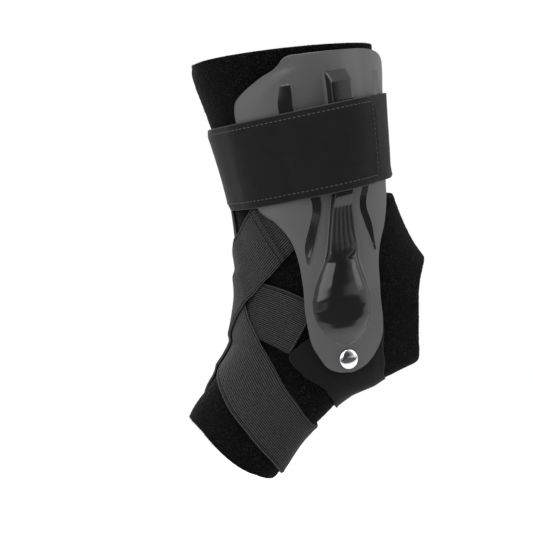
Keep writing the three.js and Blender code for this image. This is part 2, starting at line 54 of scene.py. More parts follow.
def placeCamera(setup):
    yaw, lean = math.radians(setup["yaw"]), math.radians(setup["lean"])
    back = np.array([-math.sin(yaw), -math.cos(yaw), 0.0])
    right = np.array([math.cos(yaw), -math.sin(yaw), 0.0])
    up = np.array([0.0, 0.0, 1.0])
    sine, cosine = math.sin(lean), math.cos(lean)
    leanTurn = np.array([[cosine, 0, sine], [0, 1, 0], [-sine, 0, cosine]])
    place = back * setup["distance"] + right * setup["rightOfAxis"] + up * setup["aboveAxis"]
    data = bpy.data.cameras.new("camera")
    data.lens, data.sensor_width = setup["lens"], setup["sensor"]
    data.clip_start, data.clip_end = 0.05, 20
    camera = bpy.data.objects.new("camera", data)
    bpy.context.scene.collection.objects.link(camera)
    matrix = Matrix.Identity(4)
    for column, axis in enumerate((right, up, back)):
        for row, value in enumerate(leanTurn @ axis):
            matrix[row][column] = value
    for row, value in enumerate(leanTurn @ place * mm):
        matrix[row][3] = value
    camera.matrix_world = matrix
    bpy.context.scene.camera = camera
    bpy.context.scene.view_settings.view_transform = "Standard"


placeCamera(cameraSetup)
print("camera placed")


# Small helpers for node trees
def addNode(tree, kind, settings=None, inputs=None):
    node = tree.nodes.new(kind)
    for name, value in (settings or {}).items():
        setattr(node, name, value)
    for name, value in (inputs or {}).items():
        if isinstance(value, bpy.types.NodeSocket):
            tree.links.new(value, node.inputs[name])
        else:
            node.inputs[name].default_value = value
    return node


def mathNode(tree, operation, first, second=0.0, third=0.0):
    inputs = {0: first, 1: second, 2: third}
    return addNode(tree, "ShaderNodeMath", {"operation": operation}, inputs).outputs[0]


def mixColour(tree, share, dark, light):
    return addNode(tree, "ShaderNodeMix", {"data_type": "RGBA"}, {0: share, 6: dark, 7: light}).outputs[2]


def grey(value):
    return (value, value, value * 1.03, 1.0)


def noiseNode(tree, vector, scale, detail=2.0, roughness=0.5):
    return addNode(tree, "ShaderNodeTexNoise", {}, {
        "Vector": vector, "Scale": scale, "Detail": detail, "Roughness": roughness}).outputs[0]


def stretched(tree, value, low, high, toLow=0.0, toHigh=1.0):
    inputs = {0: value, 1: low, 2: high, 3: toLow, 4: toHigh}
    return addNode(tree, "ShaderNodeMapRange", {}, inputs).outputs[0]


def bumpNode(tree, height, distance, strength=1.0, under=None):
    inputs = {"Height": height, "Distance": distance, "Strength": strength}
    if under is not None:
        inputs["Normal"] = under
    return addNode(tree, "ShaderNodeBump", {}, inputs).outputs[0]


def newMaterial(name, shader):
    material = bpy.data.materials.new(name)
    material.use_nodes = True
    tree = material.node_tree
    bsdf = tree.nodes["Principled BSDF"]
    for key, value in shader.items():
        bsdf.inputs[key].default_value = value
    return material, tree, bsdf


# Stage: a pale floor that turns pure white away from the part, white surroundings, soft lamps
stageSizes = {
    "floorHeight": -165.0,
    "floorReach": 6000.0,
    "shadowRadius": 0.16,      # metres, where the floor starts to turn white
    "whiteRadius": 0.42,
    "floorWhite": 0.93,
    "roomLight": 0.80,         # what the room gives from above and from the sides
    "roomDark": 0.04,          # what it gives from the camera's side
    "cardFrom": (-1.6, -5.8),  # corners of the dark card that the polished plastic mirrors, in metres
    "cardTo": (0.7, -0.29),
}
lampTable = [
    # name, place, width and height in metres, watts
    ("keyLamp", (-0.75, -0.80, 0.75), 1.2, 1.2, 11.5),
    ("sideLamp", (0.85, -0.55, 0.35), 0.5, 0.9, 2.2),
    ("topLamp", (0.10, 0.10, 1.10), 0.9, 0.9, 10.0),
    ("backLamp", (0.10, 0.95, 0.40), 0.8, 0.8, 6.0),
]


def aimAtPart(place, target=(0.0, 0.0, 0.03)):
    back = np.array(place, float) - np.array(target)
    back /= np.linalg.norm(back)
    side = np.cross([0.0, 0.0, 1.0], back)
    if np.linalg.norm(side) < 1e-3:
        side = np.array([1.0, 0.0, 0.0])
    side /= np.linalg.norm(side)
    matrix = Matrix.Identity(4)
    for column, axis in enumerate((side, np.cross(back, side), back, place)):
        for row in range(3):
            matrix[row][column] = axis[row]
    return matrix


def buildStage(sizes):
    reach, height = sizes["floorReach"] * mm, sizes["floorHeight"] * mm
    mesh = bpy.data.meshes.new("floor")
    corners = [(x * reach, y * reach, height) for x, y in ((-1, -1), (1, -1), (1, 1), (-1, 1))]
    mesh.from_pydata(corners, [], [(0, 1, 2, 3)])
    floor = bpy.data.objects.new("floor", mesh)
    bpy.context.scene.collection.objects.link(floor)
    material, tree, bsdf = newMaterial("floorWhite", {
        "Base Color": grey(sizes["floorWhite"]), "Roughness": 0.8})
    coords = addNode(tree, "ShaderNodeTexCoord").outputs["Object"]
    flat = addNode(tree, "ShaderNodeVectorMath", {"operation": "MULTIPLY"}, {0: coords, 1: (1, 1, 0)})
    radius = addNode(tree, "ShaderNodeVectorMath", {"operation": "LENGTH"}, {0: flat.outputs[0]})
    share = stretched(tree, radius.outputs["Value"], sizes["shadowRadius"], sizes["whiteRadius"])
    glow = addNode(tree, "ShaderNodeEmission", {}, {"Color": (1, 1, 1, 1), "Strength": 1.0}).outputs[0]
    mixed = addNode(tree, "ShaderNodeMixShader", {}, {0: share, 1: bsdf.outputs[0], 2: glow}).outputs[0]
    tree.links.new(mixed, tree.nodes["Material Output"].inputs[0])
    mesh.materials.append(material)

    card = bpy.data.meshes.new("darkCard")
    (x0, y0), (x1, y1) = sizes["cardFrom"], sizes["cardTo"]
    level = (sizes["floorHeight"] + 1) * mm
    corners = [(x0, y0, level), (x1, y0, level), (x1, y1, level), (x0, y1, level)]
    card.from_pydata(corners, [], [(0, 1, 2, 3)])
    darkCard = bpy.data.objects.new("dark_card", card)
    bpy.context.scene.collection.objects.link(darkCard)
    card.materials.append(newMaterial("cardBlack", {"Base Color": grey(0.02), "Roughness": 0.9})[0])
    darkCard.visible_camera = False
    darkCard.visible_diffuse = False
    darkCard.visible_shadow = False

    world = bpy.data.worlds.new("studio")
    bpy.context.scene.world = world
    world.use_nodes = True
    tree = world.node_tree
    background = tree.nodes["Background"]
    direction = addNode(tree, "ShaderNodeTexCoord").outputs["Generated"]
    towardsCamera = addNode(tree, "ShaderNodeVectorMath", {"operation": "DOT_PRODUCT"}, {
        0: direction, 1: (-0.25, -0.96, 0.12)}).outputs["Value"]
    roomLevel = stretched(tree, towardsCamera, 0.45, 0.85, sizes["roomLight"], sizes["roomDark"])
    seen = addNode(tree, "ShaderNodeLightPath").outputs["Is Camera Ray"]
    level = addNode(tree, "ShaderNodeMix", {}, {0: seen, 2: roomLevel, 3: 1.0}).outputs[0]
    tree.links.new(level, background.inputs["Strength"])
    background.inputs["Color"].default_value = (1, 1, 1, 1)

    for name, place, width, tall, watts in lampTable:
        data = bpy.data.lights.new(name, "AREA")
        data.shape, data.size, data.size_y, data.energy = "RECTANGLE", width, tall, watts
        lamp = bpy.data.objects.new(name, data)
        lamp.matrix_world = aimAtPart(place)
        lamp.visible_camera = False
        bpy.context.scene.collection.objects.link(lamp)


buildStage(stageSizes)
print("stage built")

# The hollow inside the brace, as in the CAD: sections from the top rim to the front rim
hollow = {"collarHeight": 160.0, "footDrop": 94.0, "toeReach": 109.5, "heelReach": 74.0,
          "collarHalfWidth": 52.5, "slantShared": 0.3}
# front x, front z, back x, back z and width are shares of those sizes; then egg, and slant in degrees
hollowRows = [
    (-0.534, 1.000, 0.736, 0.931, 1.000, 0.00, 0),
    (-0.484, 0.812, 0.703, 0.800, 0.933, 0.00, 0),
    (-0.447, 0.612, 0.676, 0.625, 0.867, 0.00, 0),
    (-0.434, 0.425, 0.662, 0.425, 0.800, 0.00, 0),
    (-0.457, 0.275, 0.703, 0.275, 0.743, 0.00, 0),
    (-0.511, 0.125, 0.797, 0.125, 0.714, 0.03, 0),
    (-0.575, 0.000, 0.946, -0.043, 0.714, 0.06, 0),
    (-0.644, -0.170, 1.000, -0.319, 0.705, 0.06, 4),
    (-0.721, -0.309, 0.784, -0.521, 0.686, 0.02, 8),
    (-0.804, -0.426, 0.392, -0.564, 0.676, -0.02, 12),
    (-0.881, -0.516, -0.037, -0.628, 0.686, -0.04, 16),
    (-0.945, -0.585, -0.338, -0.771, 0.714, -0.05, 19),
    (-1.000, -0.644, -0.612, -0.995, 0.743, -0.06, 22),
]


def hollowSections():
    rows = np.array(hollowRows, float)
    for column in (0, 2):
        rows[:, column] *= np.where(rows[:, column] < 0, hollow["toeReach"], hollow["heelReach"])
    for column in (1, 3):
        rows[:, column] *= np.where(rows[:, column] < 0, hollow["footDrop"], hollow["collarHeight"])
    rows[:, 4] *= hollow["collarHalfWidth"]
    return rows


# Smooth curve through the rows of a table, share from 0 at the first row to 1 at the last
def curveThrough(rows, share):
    rows, share = np.asarray(rows, float), np.asarray(share, float)
    last = len(rows) - 1
    place = share * last
    i = np.clip(np.floor(place).astype(int), 0, last - 1)
    t = (place - i)[..., None]
    b, c = rows[i], rows[i + 1]
    a = np.where((i > 0)[..., None], rows[np.maximum(i - 1, 0)], 2 * b - c)
    d = np.where((i + 2 <= last)[..., None], rows[np.minimum(i + 2, last)], 2 * c - b)
    return b + 0.5 * t * (c - a + t * (2 * a - 5 * b + 4 * c - d + t * (3 * (b - c) + d - a)))


sections = hollowSections()


# Where the fastened straps squeeze the soft cloth. A negative depth lets it bulge.
squeezes = [
    # u from, full at, full until, u to, angle, to each side, depth
    (-0.06, -0.01, 0.004, 0.050, -24.0, 60.0, 1.2),
    (-0.06, -0.01, 0.000, 0.020, -24.0, 40.0, 2.0),
    (0.330, 0.480, 0.590, 0.780, -28.0, 82.0, 5.4),
    (0.740, 0.800, 0.920, 1.020, 150.0, 80.0, 4.2),
    (0.755, 0.795, 0.825, 0.875, 150.0, 70.0, 2.0),
    (0.600, 0.680, 0.735, 0.795, 165.0, 62.0, -5.0),
]


# Point of the hollow: u from 0 at the top rim to 1 at the front rim, theta 0 in front, 90 inner side
def formPoint(u, theta):
    u, theta = np.broadcast_arrays(np.asarray(u, float), np.asarray(theta, float))
    point, middle = plainPoint(u, theta)
    depth = np.zeros(u.shape)
    for start, full, until, end, angle, toSide, most in squeezes:
        along = smoothStep(u, start, full) * (1 - smoothStep(u, until, end))
        turned = np.abs(np.mod(theta - angle + 180, 360) - 180)
        depth += most * along * (0.5 + 0.5 * np.cos(np.pi * np.clip(turned / toSide, 0, 1)))
    inward = middle - point
    return point + inward / np.linalg.norm(inward, axis=-1, keepdims=True) * depth[..., None]


def plainPoint(u, theta):
    row = curveThrough(sections, u)
    front, back = row[..., 0:2], row[..., 2:4]
    centre, reach = (front + back) / 2, (front - back) / 2
    onward = np.stack([-reach[..., 1], reach[..., 0]], -1)
    onward /= np.linalg.norm(onward, axis=-1, keepdims=True)
    forward, sideways = np.cos(np.radians(theta)), np.sin(np.radians(theta))
    shared = hollow["slantShared"]
    slanted = (sideways + shared * (sideways ** 2 - sideways)) * np.tan(np.radians(row[..., 6]))
    side = centre + reach * forward[..., None] + onward * (slanted * row[..., 4])[..., None]
    point = np.stack([side[..., 0], -sideways * row[..., 4] * (1 + row[..., 5] * forward), side[..., 1]], -1)
    return point, np.stack([centre[..., 0], np.zeros(u.shape), centre[..., 1]], -1)


def formSlopes(u, theta):
    stepU, stepTheta = 1e-3, 0.1
    alongU = (formPoint(u + stepU, theta) - formPoint(u - stepU, theta)) / (2 * stepU)
    alongTheta = (formPoint(u, theta + stepTheta) - formPoint(u, theta - stepTheta)) / (2 * stepTheta)
    normal = np.cross(alongU, alongTheta)
    return alongU, alongTheta, normal / np.linalg.norm(normal, axis=-1, keepdims=True)


def formOffset(u, theta, distance):
    return formPoint(u, theta) + formSlopes(u, theta)[2] * np.asarray(distance)[..., None]


def dot(a, b):
    return np.sum(a * b, axis=-1)


# Walks over the form from places, in directions, for distances
def walkOver(u, theta, heading, distance, steps=6):
    direction = heading.copy()
    for _ in range(steps):
        alongU, alongTheta, normal = formSlopes(u, theta)
        direction = direction - normal * dot(direction, normal)[..., None]
        direction /= np.linalg.norm(direction, axis=-1, keepdims=True)
        uu, ut, tt = dot(alongU, alongU), dot(alongU, alongTheta), dot(alongTheta, alongTheta)
        u1, t1 = dot(alongU, direction), dot(alongTheta, direction)
        scale = distance / steps / (uu * tt - ut * ut)
        u, theta = u + scale * (u1 * tt - t1 * ut), theta + scale * (t1 * uu - u1 * ut)
    return u, theta


def smoothStep(value, low, high):
    t = np.clip((np.asarray(value, float) - low) / (high - low), 0, 1)
    return t * t * (3 - 2 * t)


# Layers, as distances out from the hollow
layers = {"sleeveWall": 3.6, "onSleeve": 4.1, "elastic": 1.9, "overStrap": 0.35, "stirrup": 1.8,
          "shellInside": 7.3, "shellOutside": 9.9}


# Makes a mesh object from points in millimetres, facing out, attaches it to its body and hides the CAD node
# it replaces
def makePiece(name, points, faces, material, node=None, uv=None, values=None):
    points = np.asarray(points, float)
    mesh = bpy.data.meshes.new(name)
    mesh.from_pydata((points * mm).tolist(), [], faces)
    mesh.update()
    mesh.calc_loop_triangles()
    corners = np.zeros(len(mesh.loop_triangles) * 3, int)
    mesh.loop_triangles.foreach_get("vertices", corners)
    a, b, c = (points[corners[k::3]] for k in range(3))
    if np.sum(dot(a, np.cross(b, c))) < 0:
        mesh.flip_normals()
    mesh.polygons.foreach_set("use_smooth", np.ones(len(mesh.polygons), bool))
    loopPoint = np.zeros(len(mesh.loops), int)
    mesh.loops.foreach_get("vertex_index", loopPoint)
    if uv is not None:
        layer = mesh.uv_layers.new(name="clothUv")
        layer.data.foreach_set("uv", np.asarray(uv, float)[loopPoint].ravel())
    for key, value in (values or {}).items():
        attribute = mesh.attributes.new(key, "FLOAT", "POINT")
        attribute.data.foreach_set("value", np.asarray(value, np.float32))
    mesh.materials.append(material)
    piece = bpy.data.objects.new(name, mesh)
    bpy.context.scene.collection.objects.link(piece)
    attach(piece, "root")
    if node:
        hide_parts(node)
    print("made", name, len(mesh.polygons), "faces")
    return piece


# Joins closed sections into one body. Each section is a loop whose first half runs over the top
# and whose second half runs back underneath, so that the ends close with quads.
def loftSections(grid):
    rows, count = grid.shape[:2]
    faces = []
    for i in range(rows - 1):
        for j in range(count):
            k = (j + 1) % count
            faces.append((i * count + j, i * count + k, (i + 1) * count + k, (i + 1) * count + j))
    for i, flip in ((0, True), (rows - 1, False)):
        for j in range(count // 2 - 1):
            quad = [i * count + j, i * count + j + 1, i * count + count - 2 - j, i * count + count - 1 - j]
            faces.append(tuple(reversed(quad)) if flip else tuple(quad))
    return grid.reshape(-1, 3), faces


def gridFaces(rows, columns):
    return [(i * columns + j, i * columns + j + 1, (i + 1) * columns + j + 1, (i + 1) * columns + j)
            for i in range(rows - 1) for j in range(columns - 1)]


def flatRows(grid):
    return grid.reshape(-1, grid.shape[-1])


# Turns a sheet into a body with a rounded edge. Inner and outer points share one list of faces.
def thickenSheet(inner, outer, faces, rimSteps=4, roundness=1.0):
    count = len(inner)
    used = {}
    for face in faces:
        for a, b in zip(face, face[1:] + face[:1]):
            used[(a, b)] = used.get((a, b), 0) + 1
    border = [(a, b) for (a, b) in used if (b, a) not in used]
    nextOne = {a: b for a, b in border}
    before = {b: a for a, b in border}
    ring = list(nextOne)
    middle, half = (inner + outer) / 2, (outer - inner) / 2
    here = np.array(ring)
    tangent = middle[[nextOne[a] for a in ring]] - middle[[before[a] for a in ring]]
    outward = np.cross(tangent, half[here])
    outward /= np.linalg.norm(outward, axis=-1, keepdims=True) + 1e-9
    thickness = np.linalg.norm(half[here], axis=-1, keepdims=True)
    points, rings = [inner, outer], [{a: count + a for a in ring}]
    total = 2 * count
    for k in range(1, rimSteps):
        angle = math.pi * k / rimSteps
        points.append(middle[here] + half[here] * math.cos(angle)
                      + outward * thickness * math.sin(angle) * roundness)
        rings.append({a: total + n for n, a in enumerate(ring)})
        total += len(ring)
    rings.append({a: a for a in ring})
    made = [tuple(reversed(face)) for face in faces] + [tuple(count + a for a in face) for face in faces]
    for upper, lower in zip(rings, rings[1:]):
        made += [(upper[b], upper[a], lower[a], lower[b]) for a, b in border]
    return np.concatenate(points), made


# Cloth finishes. Lengths are metres in object space, or centimetres in the clothUv map.
def fuzzyCloth(name, dark=0.0008, light=0.024, grain=1300.0):
    material, tree, bsdf = newMaterial(name, {
        "Roughness": 0.95, "Specular IOR Level": 0.06, "Sheen Weight": 0.03, "Sheen Roughness": 0.5,
        "Sheen Tint": grey(0.5)})
    coords = addNode(tree, "ShaderNodeTexCoord").outputs["Object"]
    loops = noiseNode(tree, coords, grain, 3.0, 0.65)
    patches = noiseNode(tree, coords, 90.0, 2.0)
    speckle = stretched(tree, loops, 0.52, 0.74)
    lit = mathNode(tree, "MULTIPLY", speckle, stretched(tree, patches, 0.3, 0.7, 0.6, 1.1))
    tree.links.new(mixColour(tree, lit, grey(dark), grey(light)), bsdf.inputs["Base Color"])
    soft = bumpNode(tree, patches, 0.0006, 0.5)
    tree.links.new(bumpNode(tree, loops, 0.0007, 0.9, soft), bsdf.inputs["Normal"])
    return material


# Ribbed elastic: ribs run along v, and fine cross threads show on them. The grooves between the modelled ribs
# are painted darker, painted shade
ribsPerCm = 8.0  # of the cloth map, so that its ribs fall on the modelled ones


def ribbedCloth(name, dark=0.003, light=0.086):
    material, tree, bsdf = newMaterial(name, {
        "Roughness": 0.85, "Specular IOR Level": 0.2, "Sheen Weight": 0.06, "Sheen Roughness": 0.4,
        "Sheen Tint": grey(0.6)})
    uv = addNode(tree, "ShaderNodeUVMap", {"uv_map": "clothUv"}).outputs[0]
    split = addNode(tree, "ShaderNodeSeparateXYZ", {}, {0: uv}).outputs
    wobble = noiseNode(tree, uv, 9.0, 2.0)
    across = mathNode(tree, "MULTIPLY_ADD", wobble, 0.05, split[0])
    ribWave = mathNode(tree, "COSINE", mathNode(tree, "MULTIPLY", across, 2 * math.pi * ribsPerCm))
    threadTurn = mathNode(tree, "MULTIPLY", split[1], 2 * math.pi * 11)
    threadPhase = mathNode(tree, "MULTIPLY_ADD", wobble, 2.5, threadTurn)
    slanted = mathNode(tree, "ADD", threadPhase, mathNode(tree, "MULTIPLY", across, 20.0))
    threadWave = mathNode(tree, "SINE", slanted)
    # rib is low in the grooves and high on the crests, so the colour holds painted shade in the grooves
    rib = stretched(tree, ribWave, -0.75, 0.9)
    thread = stretched(tree, threadWave, -1.0, 1.0, 0.55, 1.0)
    fleck = stretched(tree, noiseNode(tree, uv, 26.0, 3.0, 0.75), 0.38, 0.66, 0.20, 1.45)
    share = mathNode(tree, "MULTIPLY", mathNode(tree, "MULTIPLY", rib, thread), fleck)
    # This attribute darkens the elastic: a painted shadow line inside each raised edge, and painted shade in
    # the hem's stitch grooves
    lineMark = addNode(tree, "ShaderNodeAttribute", {"attribute_name": "lineMark"}).outputs["Fac"]
    share = mathNode(tree, "MULTIPLY", share, mathNode(tree, "SUBTRACT", 1.0, lineMark))
    tree.links.new(mixColour(tree, share, grey(dark), grey(light)), bsdf.inputs["Base Color"])
    height = mathNode(tree, "MULTIPLY_ADD", thread, 0.5, rib)
    tree.links.new(bumpNode(tree, height, 0.00035, 0.8), bsdf.inputs["Normal"])
    return material


# Smooth knit of the flap and webbing of the stirrup: a fine twill along the cloth
def smoothCloth(name, dark, light, threadsPerCm=14.0, slope=1.0):
    material, tree, bsdf = newMaterial(name, {
        "Roughness": 0.78, "Specular IOR Level": 0.18, "Sheen Weight": 0.05, "Sheen Roughness": 0.35,
        "Sheen Tint": grey(0.6)})
    uv = addNode(tree, "ShaderNodeUVMap", {"uv_map": "clothUv"}).outputs[0]
    split = addNode(tree, "ShaderNodeSeparateXYZ", {}, {0: uv}).outputs
    turn = 2 * math.pi * threadsPerCm
    oneWay = mathNode(tree, "MULTIPLY_ADD", split[1], slope, split[0])
    otherWay = mathNode(tree, "SUBTRACT", split[1], split[0])
    first = mathNode(tree, "SINE", mathNode(tree, "MULTIPLY", oneWay, turn))
    second = mathNode(tree, "SINE", mathNode(tree, "MULTIPLY", otherWay, turn))
    twill = stretched(tree, mathNode(tree, "MULTIPLY", first, second), -1.0, 1.0)
    clouds = stretched(tree, noiseNode(tree, uv, 1.3, 4.0, 0.6), 0.35, 0.65, 0.75, 1.15)
    fuzz = noiseNode(tree, uv, 40.0, 3.0, 0.7)
    weave = mathNode(tree, "MULTIPLY_ADD", fuzz, 0.6, mathNode(tree, "MULTIPLY", twill, 0.55))
    share = mathNode(tree, "MULTIPLY", weave, clouds)
    edge = addNode(tree, "ShaderNodeAttribute", {"attribute_name": "edge"}).outputs["Fac"]
    plain = mixColour(tree, share, grey(dark), grey(light))
    tree.links.new(mixColour(tree, edge, plain, grey(light * 5)), bsdf.inputs["Base Color"])
    tree.links.new(bumpNode(tree, share, 0.00022, 0.7), bsdf.inputs["Normal"])
    return material


# Moulded plastic: satin on the plain face, polished and darker on the raised rib, dome and side ribs
def shellPlastic(name):
    material, tree, bsdf = newMaterial(name, {
        "IOR": 1.46, "Coat Weight": 0.15, "Coat Roughness": 0.06})
    polish = addNode(tree, "ShaderNodeAttribute", {"attribute_name": "polish"}).outputs["Fac"]
    coords = addNode(tree, "ShaderNodeTexCoord").outputs["Object"]
    grain = noiseNode(tree, coords, 2600.0, 2.0)
    clouds = noiseNode(tree, coords, 28.0, 3.0)
    satin = mixColour(tree, clouds, grey(0.066), grey(0.081))
    edge = addNode(tree, "ShaderNodeAttribute", {"attribute_name": "edge"}).outputs["Fac"]
    # Where polish is lowered at the dome's bottom, the lighter colour is a painted reflection of the pale
    # floor
    plain = mixColour(tree, polish, satin, grey(0.010))
    tree.links.new(mixColour(tree, edge, plain, grey(0.15)), bsdf.inputs["Base Color"])
    smear = stretched(tree, clouds, 0.3, 0.7, -0.04, 0.05)
    rough = stretched(tree, polish, 0.0, 1.0, 0.50, 0.12)
    tree.links.new(mathNode(tree, "ADD", rough, smear), bsdf.inputs["Roughness"])
    tree.links.new(bumpNode(tree, grain, 0.00004, 0.5), bsdf.inputs["Normal"])
    return material


def chromeMetal(name):
    material, tree, bsdf = newMaterial(name, {"Metallic": 1.0})
    coords = addNode(tree, "ShaderNodeTexCoord").outputs["Object"]
    scuffs = noiseNode(tree, coords, 900.0, 4.0, 0.7)
    tree.links.new(mixColour(tree, scuffs, grey(0.70), grey(0.86)), bsdf.inputs["Base Color"])
    tree.links.new(stretched(tree, scuffs, 0.3, 0.7, 0.08, 0.24), bsdf.inputs["Roughness"])
    tree.links.new(bumpNode(tree, scuffs, 0.00006, 0.4), bsdf.inputs["Normal"])
    return material


def threadCloth(name, tone):
    material, tree, bsdf = newMaterial(name, {"Roughness": 0.7, "Sheen Weight": 0.2, "Sheen Roughness": 0.4})
    coords = addNode(tree, "ShaderNodeTexCoord").outputs["Object"]
    twist = noiseNode(tree, coords, 2400.0, 2.0)
    tree.links.new(mixColour(tree, twist, grey(tone * 0.6), grey(tone * 1.3)), bsdf.inputs["Base Color"])
    tree.links.new(bumpNode(tree, twist, 0.0001, 0.6), bsdf.inputs["Normal"])
    return material


fuzzy = fuzzyCloth("loopCloth")
ribbed = ribbedCloth("ribbedElastic")
flapKnit = smoothCloth("flapKnit", 0.0026, 0.0082)
bandKnit = smoothCloth("bandKnit", 0.009, 0.022, 9.0, 0.0)
webbing = smoothCloth("stirrupWebbing", 0.0014, 0.0052, 11.0)
plastic = shellPlastic("shellPlastic")
chrome = chromeMetal("rivetChrome")
thread = threadCloth("stitchThread", 0.045)
darkThread = threadCloth("hemThread", 0.008)
print("finishes made")

# Sleeve: a fine sheet over the whole form, trimmed at the heel hole and the Achilles gap
sleeveSizes = {
    "alongSteps": 250,
    "roundSteps": 228,
    "pileHeight": 0.35,        # how far the loop pile roughens the outside
    "snapWithin": 0.9,         # a point this near a cut is moved onto it
    "holeTop": 7.0,
    "gapLow": 44.0, "gapRise": 10.0, "gapRun": 27.0, "gapTop": 80.0,
    "gapFront": 0.36,          # a share of heelReach
    "cutPastHeel": 1.3,
}
# Edge of the heel hole: x is a share of heelReach, z of holeTop up or footDrop down
holeEdge = {"corner": (0.9, 1.0), "cornerBend": (0.64, 0.4), "side": (0.57, -0.2),
            "sideBend": (0.5, -0.4), "foot": (0.5, -0.53), "end": (0.485, -0.9)}


def bend(start, middle, end, steps=14):
    t = np.linspace(0, 1, steps + 1)[1:, None]
    return (1 - t) ** 2 * start + 2 * t * (1 - t) * middle + t * t * end


def cutOutlines(sizes):
    behind = sizes["cutPastHeel"] * hollow["heelReach"]
    at = {key: np.array([x * hollow["heelReach"], z * (hollow["footDrop"] if z < 0 else sizes["holeTop"])])
          for key, (x, z) in holeEdge.items()}
    hole = np.concatenate([
        [[behind, sizes["holeTop"]]], [at["corner"]],
        bend(at["corner"], at["cornerBend"], at["side"]),
        bend(at["side"], at["sideBend"], at["foot"]),
        [at["end"]], [[behind, at["end"][1]]]])
    front = sizes["gapFront"] * hollow["heelReach"]
    slope = sizes["gapRise"] / sizes["gapRun"]
    gap = np.array([[front, sizes["gapLow"]], [behind, sizes["gapLow"] + slope * (behind - front)],
                    [behind, sizes["gapTop"]], [front, sizes["gapTop"]]])
    return [hole, gap]


# Distance from points, seen from the side, to an outline: negative inside it
def outlineDistance(points, outline):
    side = points[..., [0, 2]]
    inside = np.zeros(side.shape[:-1], bool)
    nearest = np.full(side.shape[:-1], 1e9)
    for a, b in zip(outline, np.roll(outline, -1, axis=0)):
        edge, away = b - a, side - a
        t = np.clip(dot(away, edge) / dot(edge, edge), 0, 1)
        nearest = np.minimum(nearest, np.linalg.norm(away - t[..., None] * edge, axis=-1))
        if a[1] != b[1]:
            crosses = (side[..., 1] < a[1]) != (side[..., 1] < b[1])
            reach = a[0] + (side[..., 1] - a[1]) / (b[1] - a[1]) * edge[0]
            inside ^= crosses & (side[..., 0] < reach)
    return np.where(inside, -nearest, nearest)


def buildSleeve(sizes):
    outlines = cutOutlines(sizes)

    def distance(u, theta):
        return np.minimum(*[outlineDistance(formPoint(u, theta), outline) for outline in outlines])

    rows, columns = sizes["alongSteps"] + 1, sizes["roundSteps"]
    u, theta = np.meshgrid(np.linspace(0, 1, rows), np.arange(columns) * 360 / columns, indexing="ij")
    away = distance(u, theta)
    snapped = np.abs(away) < sizes["snapWithin"]
    for _ in range(4):
        su, st = u[snapped], theta[snapped]
        here = distance(su, st)
        slopeU = (distance(su + 1e-4, st) - distance(su - 1e-4, st)) / 2e-4
        slopeT = (distance(su, st + 0.01) - distance(su, st - 0.01)) / 0.02
        alongU, alongTheta, _ = formSlopes(su, st)
        uu, ut, tt = dot(alongU, alongU), dot(alongU, alongTheta), dot(alongTheta, alongTheta)
        stepU, stepT = slopeU * tt - slopeT * ut, slopeT * uu - slopeU * ut
        total = slopeU * stepU + slopeT * stepT
        scale = -here / np.where(np.abs(total) < 1e-6, 1e9, total)
        u[snapped], theta[snapped] = su + scale * stepU, st + scale * stepT
    state = np.where(snapped, 0, np.sign(away)).ravel()
    u, theta = np.clip(u.ravel(), 0, 1), theta.ravel()
    faces = []
    for i in range(rows - 1):
        for j in range(columns):
            k = (j + 1) % columns
            quad = (i * columns + j, i * columns + k, (i + 1) * columns + k, (i + 1) * columns + j)
            marks = [state[n] for n in quad]
            if min(marks) >= 0 and max(marks) > 0:
                faces.append(quad)
            elif max(marks) > 0:
                first = ((0, 1, 2), (0, 2, 3)) if marks[0] == marks[2] == 0 else ((0, 1, 3), (1, 2, 3))
                for corners in first:
                    part = [marks[c] for c in corners]
                    if min(part) >= 0 and max(part) > 0:
                        faces.append(tuple(quad[c] for c in corners))
    kept = sorted({n for face in faces for n in face})
    number = {n: k for k, n in enumerate(kept)}
    faces = [tuple(number[n] for n in face) for face in faces]
    u, theta = u[kept], theta[kept]
    inner, normal = formPoint(u, theta), formSlopes(u, theta)[2]
    pile = np.random.default_rng(3).random(len(inner)) * sizes["pileHeight"]
    outer = inner + normal * (layers["sleeveWall"] - sizes["pileHeight"] + pile)[:, None]
    points, faces = thickenSheet(inner, outer, faces, 5, 0.8)
    piece = makePiece("sleeve_cloth", points, faces, fuzzy, "sleeve")
    return piece


buildSleeve(sleeveSizes)
print("sleeve made")

# Elastic straps: places on the form as (u, theta), as in the CAD
strapSizes = {
    "crossWidth": 36.0,
    "saddleWidth": 35.0,
    "ribs": 27,
    "pointsPerRib": 4,
    "ribDepth": 0.42,
    "edgeBead": 0.25,          # the woven edge stands a little proud
    "edgeShadeLine": 1.9,           # a painted shadow line runs just inside the raised edge
    "margin": 1.5,             # how far past a strap's edge the next one has climbed over it
    "ramp": 6.5,
    "stepLength": 2.2,         # between sections along a strap
}
saddlePath = [(0.545, -53), (0.527, -42), (0.507, -29), (0.491, -14), (0.484, 0), (0.490, 14),
              (0.506, 29), (0.530, 42), (0.560, 53.5)]
lowerPath = [(0.948, 179.6), (0.946, 150), (0.938, 122), (0.918, 100), (0.887, 79.5), (0.843, 62.0),
             (0.79, 46), (0.716, 29), (0.655, 13), (0.609, 2), (0.559, -8), (0.5, -17), (0.44, -24),
             (0.38, -31.5), (0.335, -37.5), (0.300, -42.5), (0.271, -47)]
upperPath = [(0.949, -179.6), (0.946, -150), (0.935, -122), (0.912, -100), (0.881, -82),
             (0.845, -67), (0.795, -54), (0.74, -45), (0.683, -38), (0.625, -33), (0.565, -28.5),
             (0.503, -21.5), (0.446, -10.5), (0.409, -1), (0.374, 11.5), (0.343, 23.5),
             (0.32, 33), (0.298, 42)]


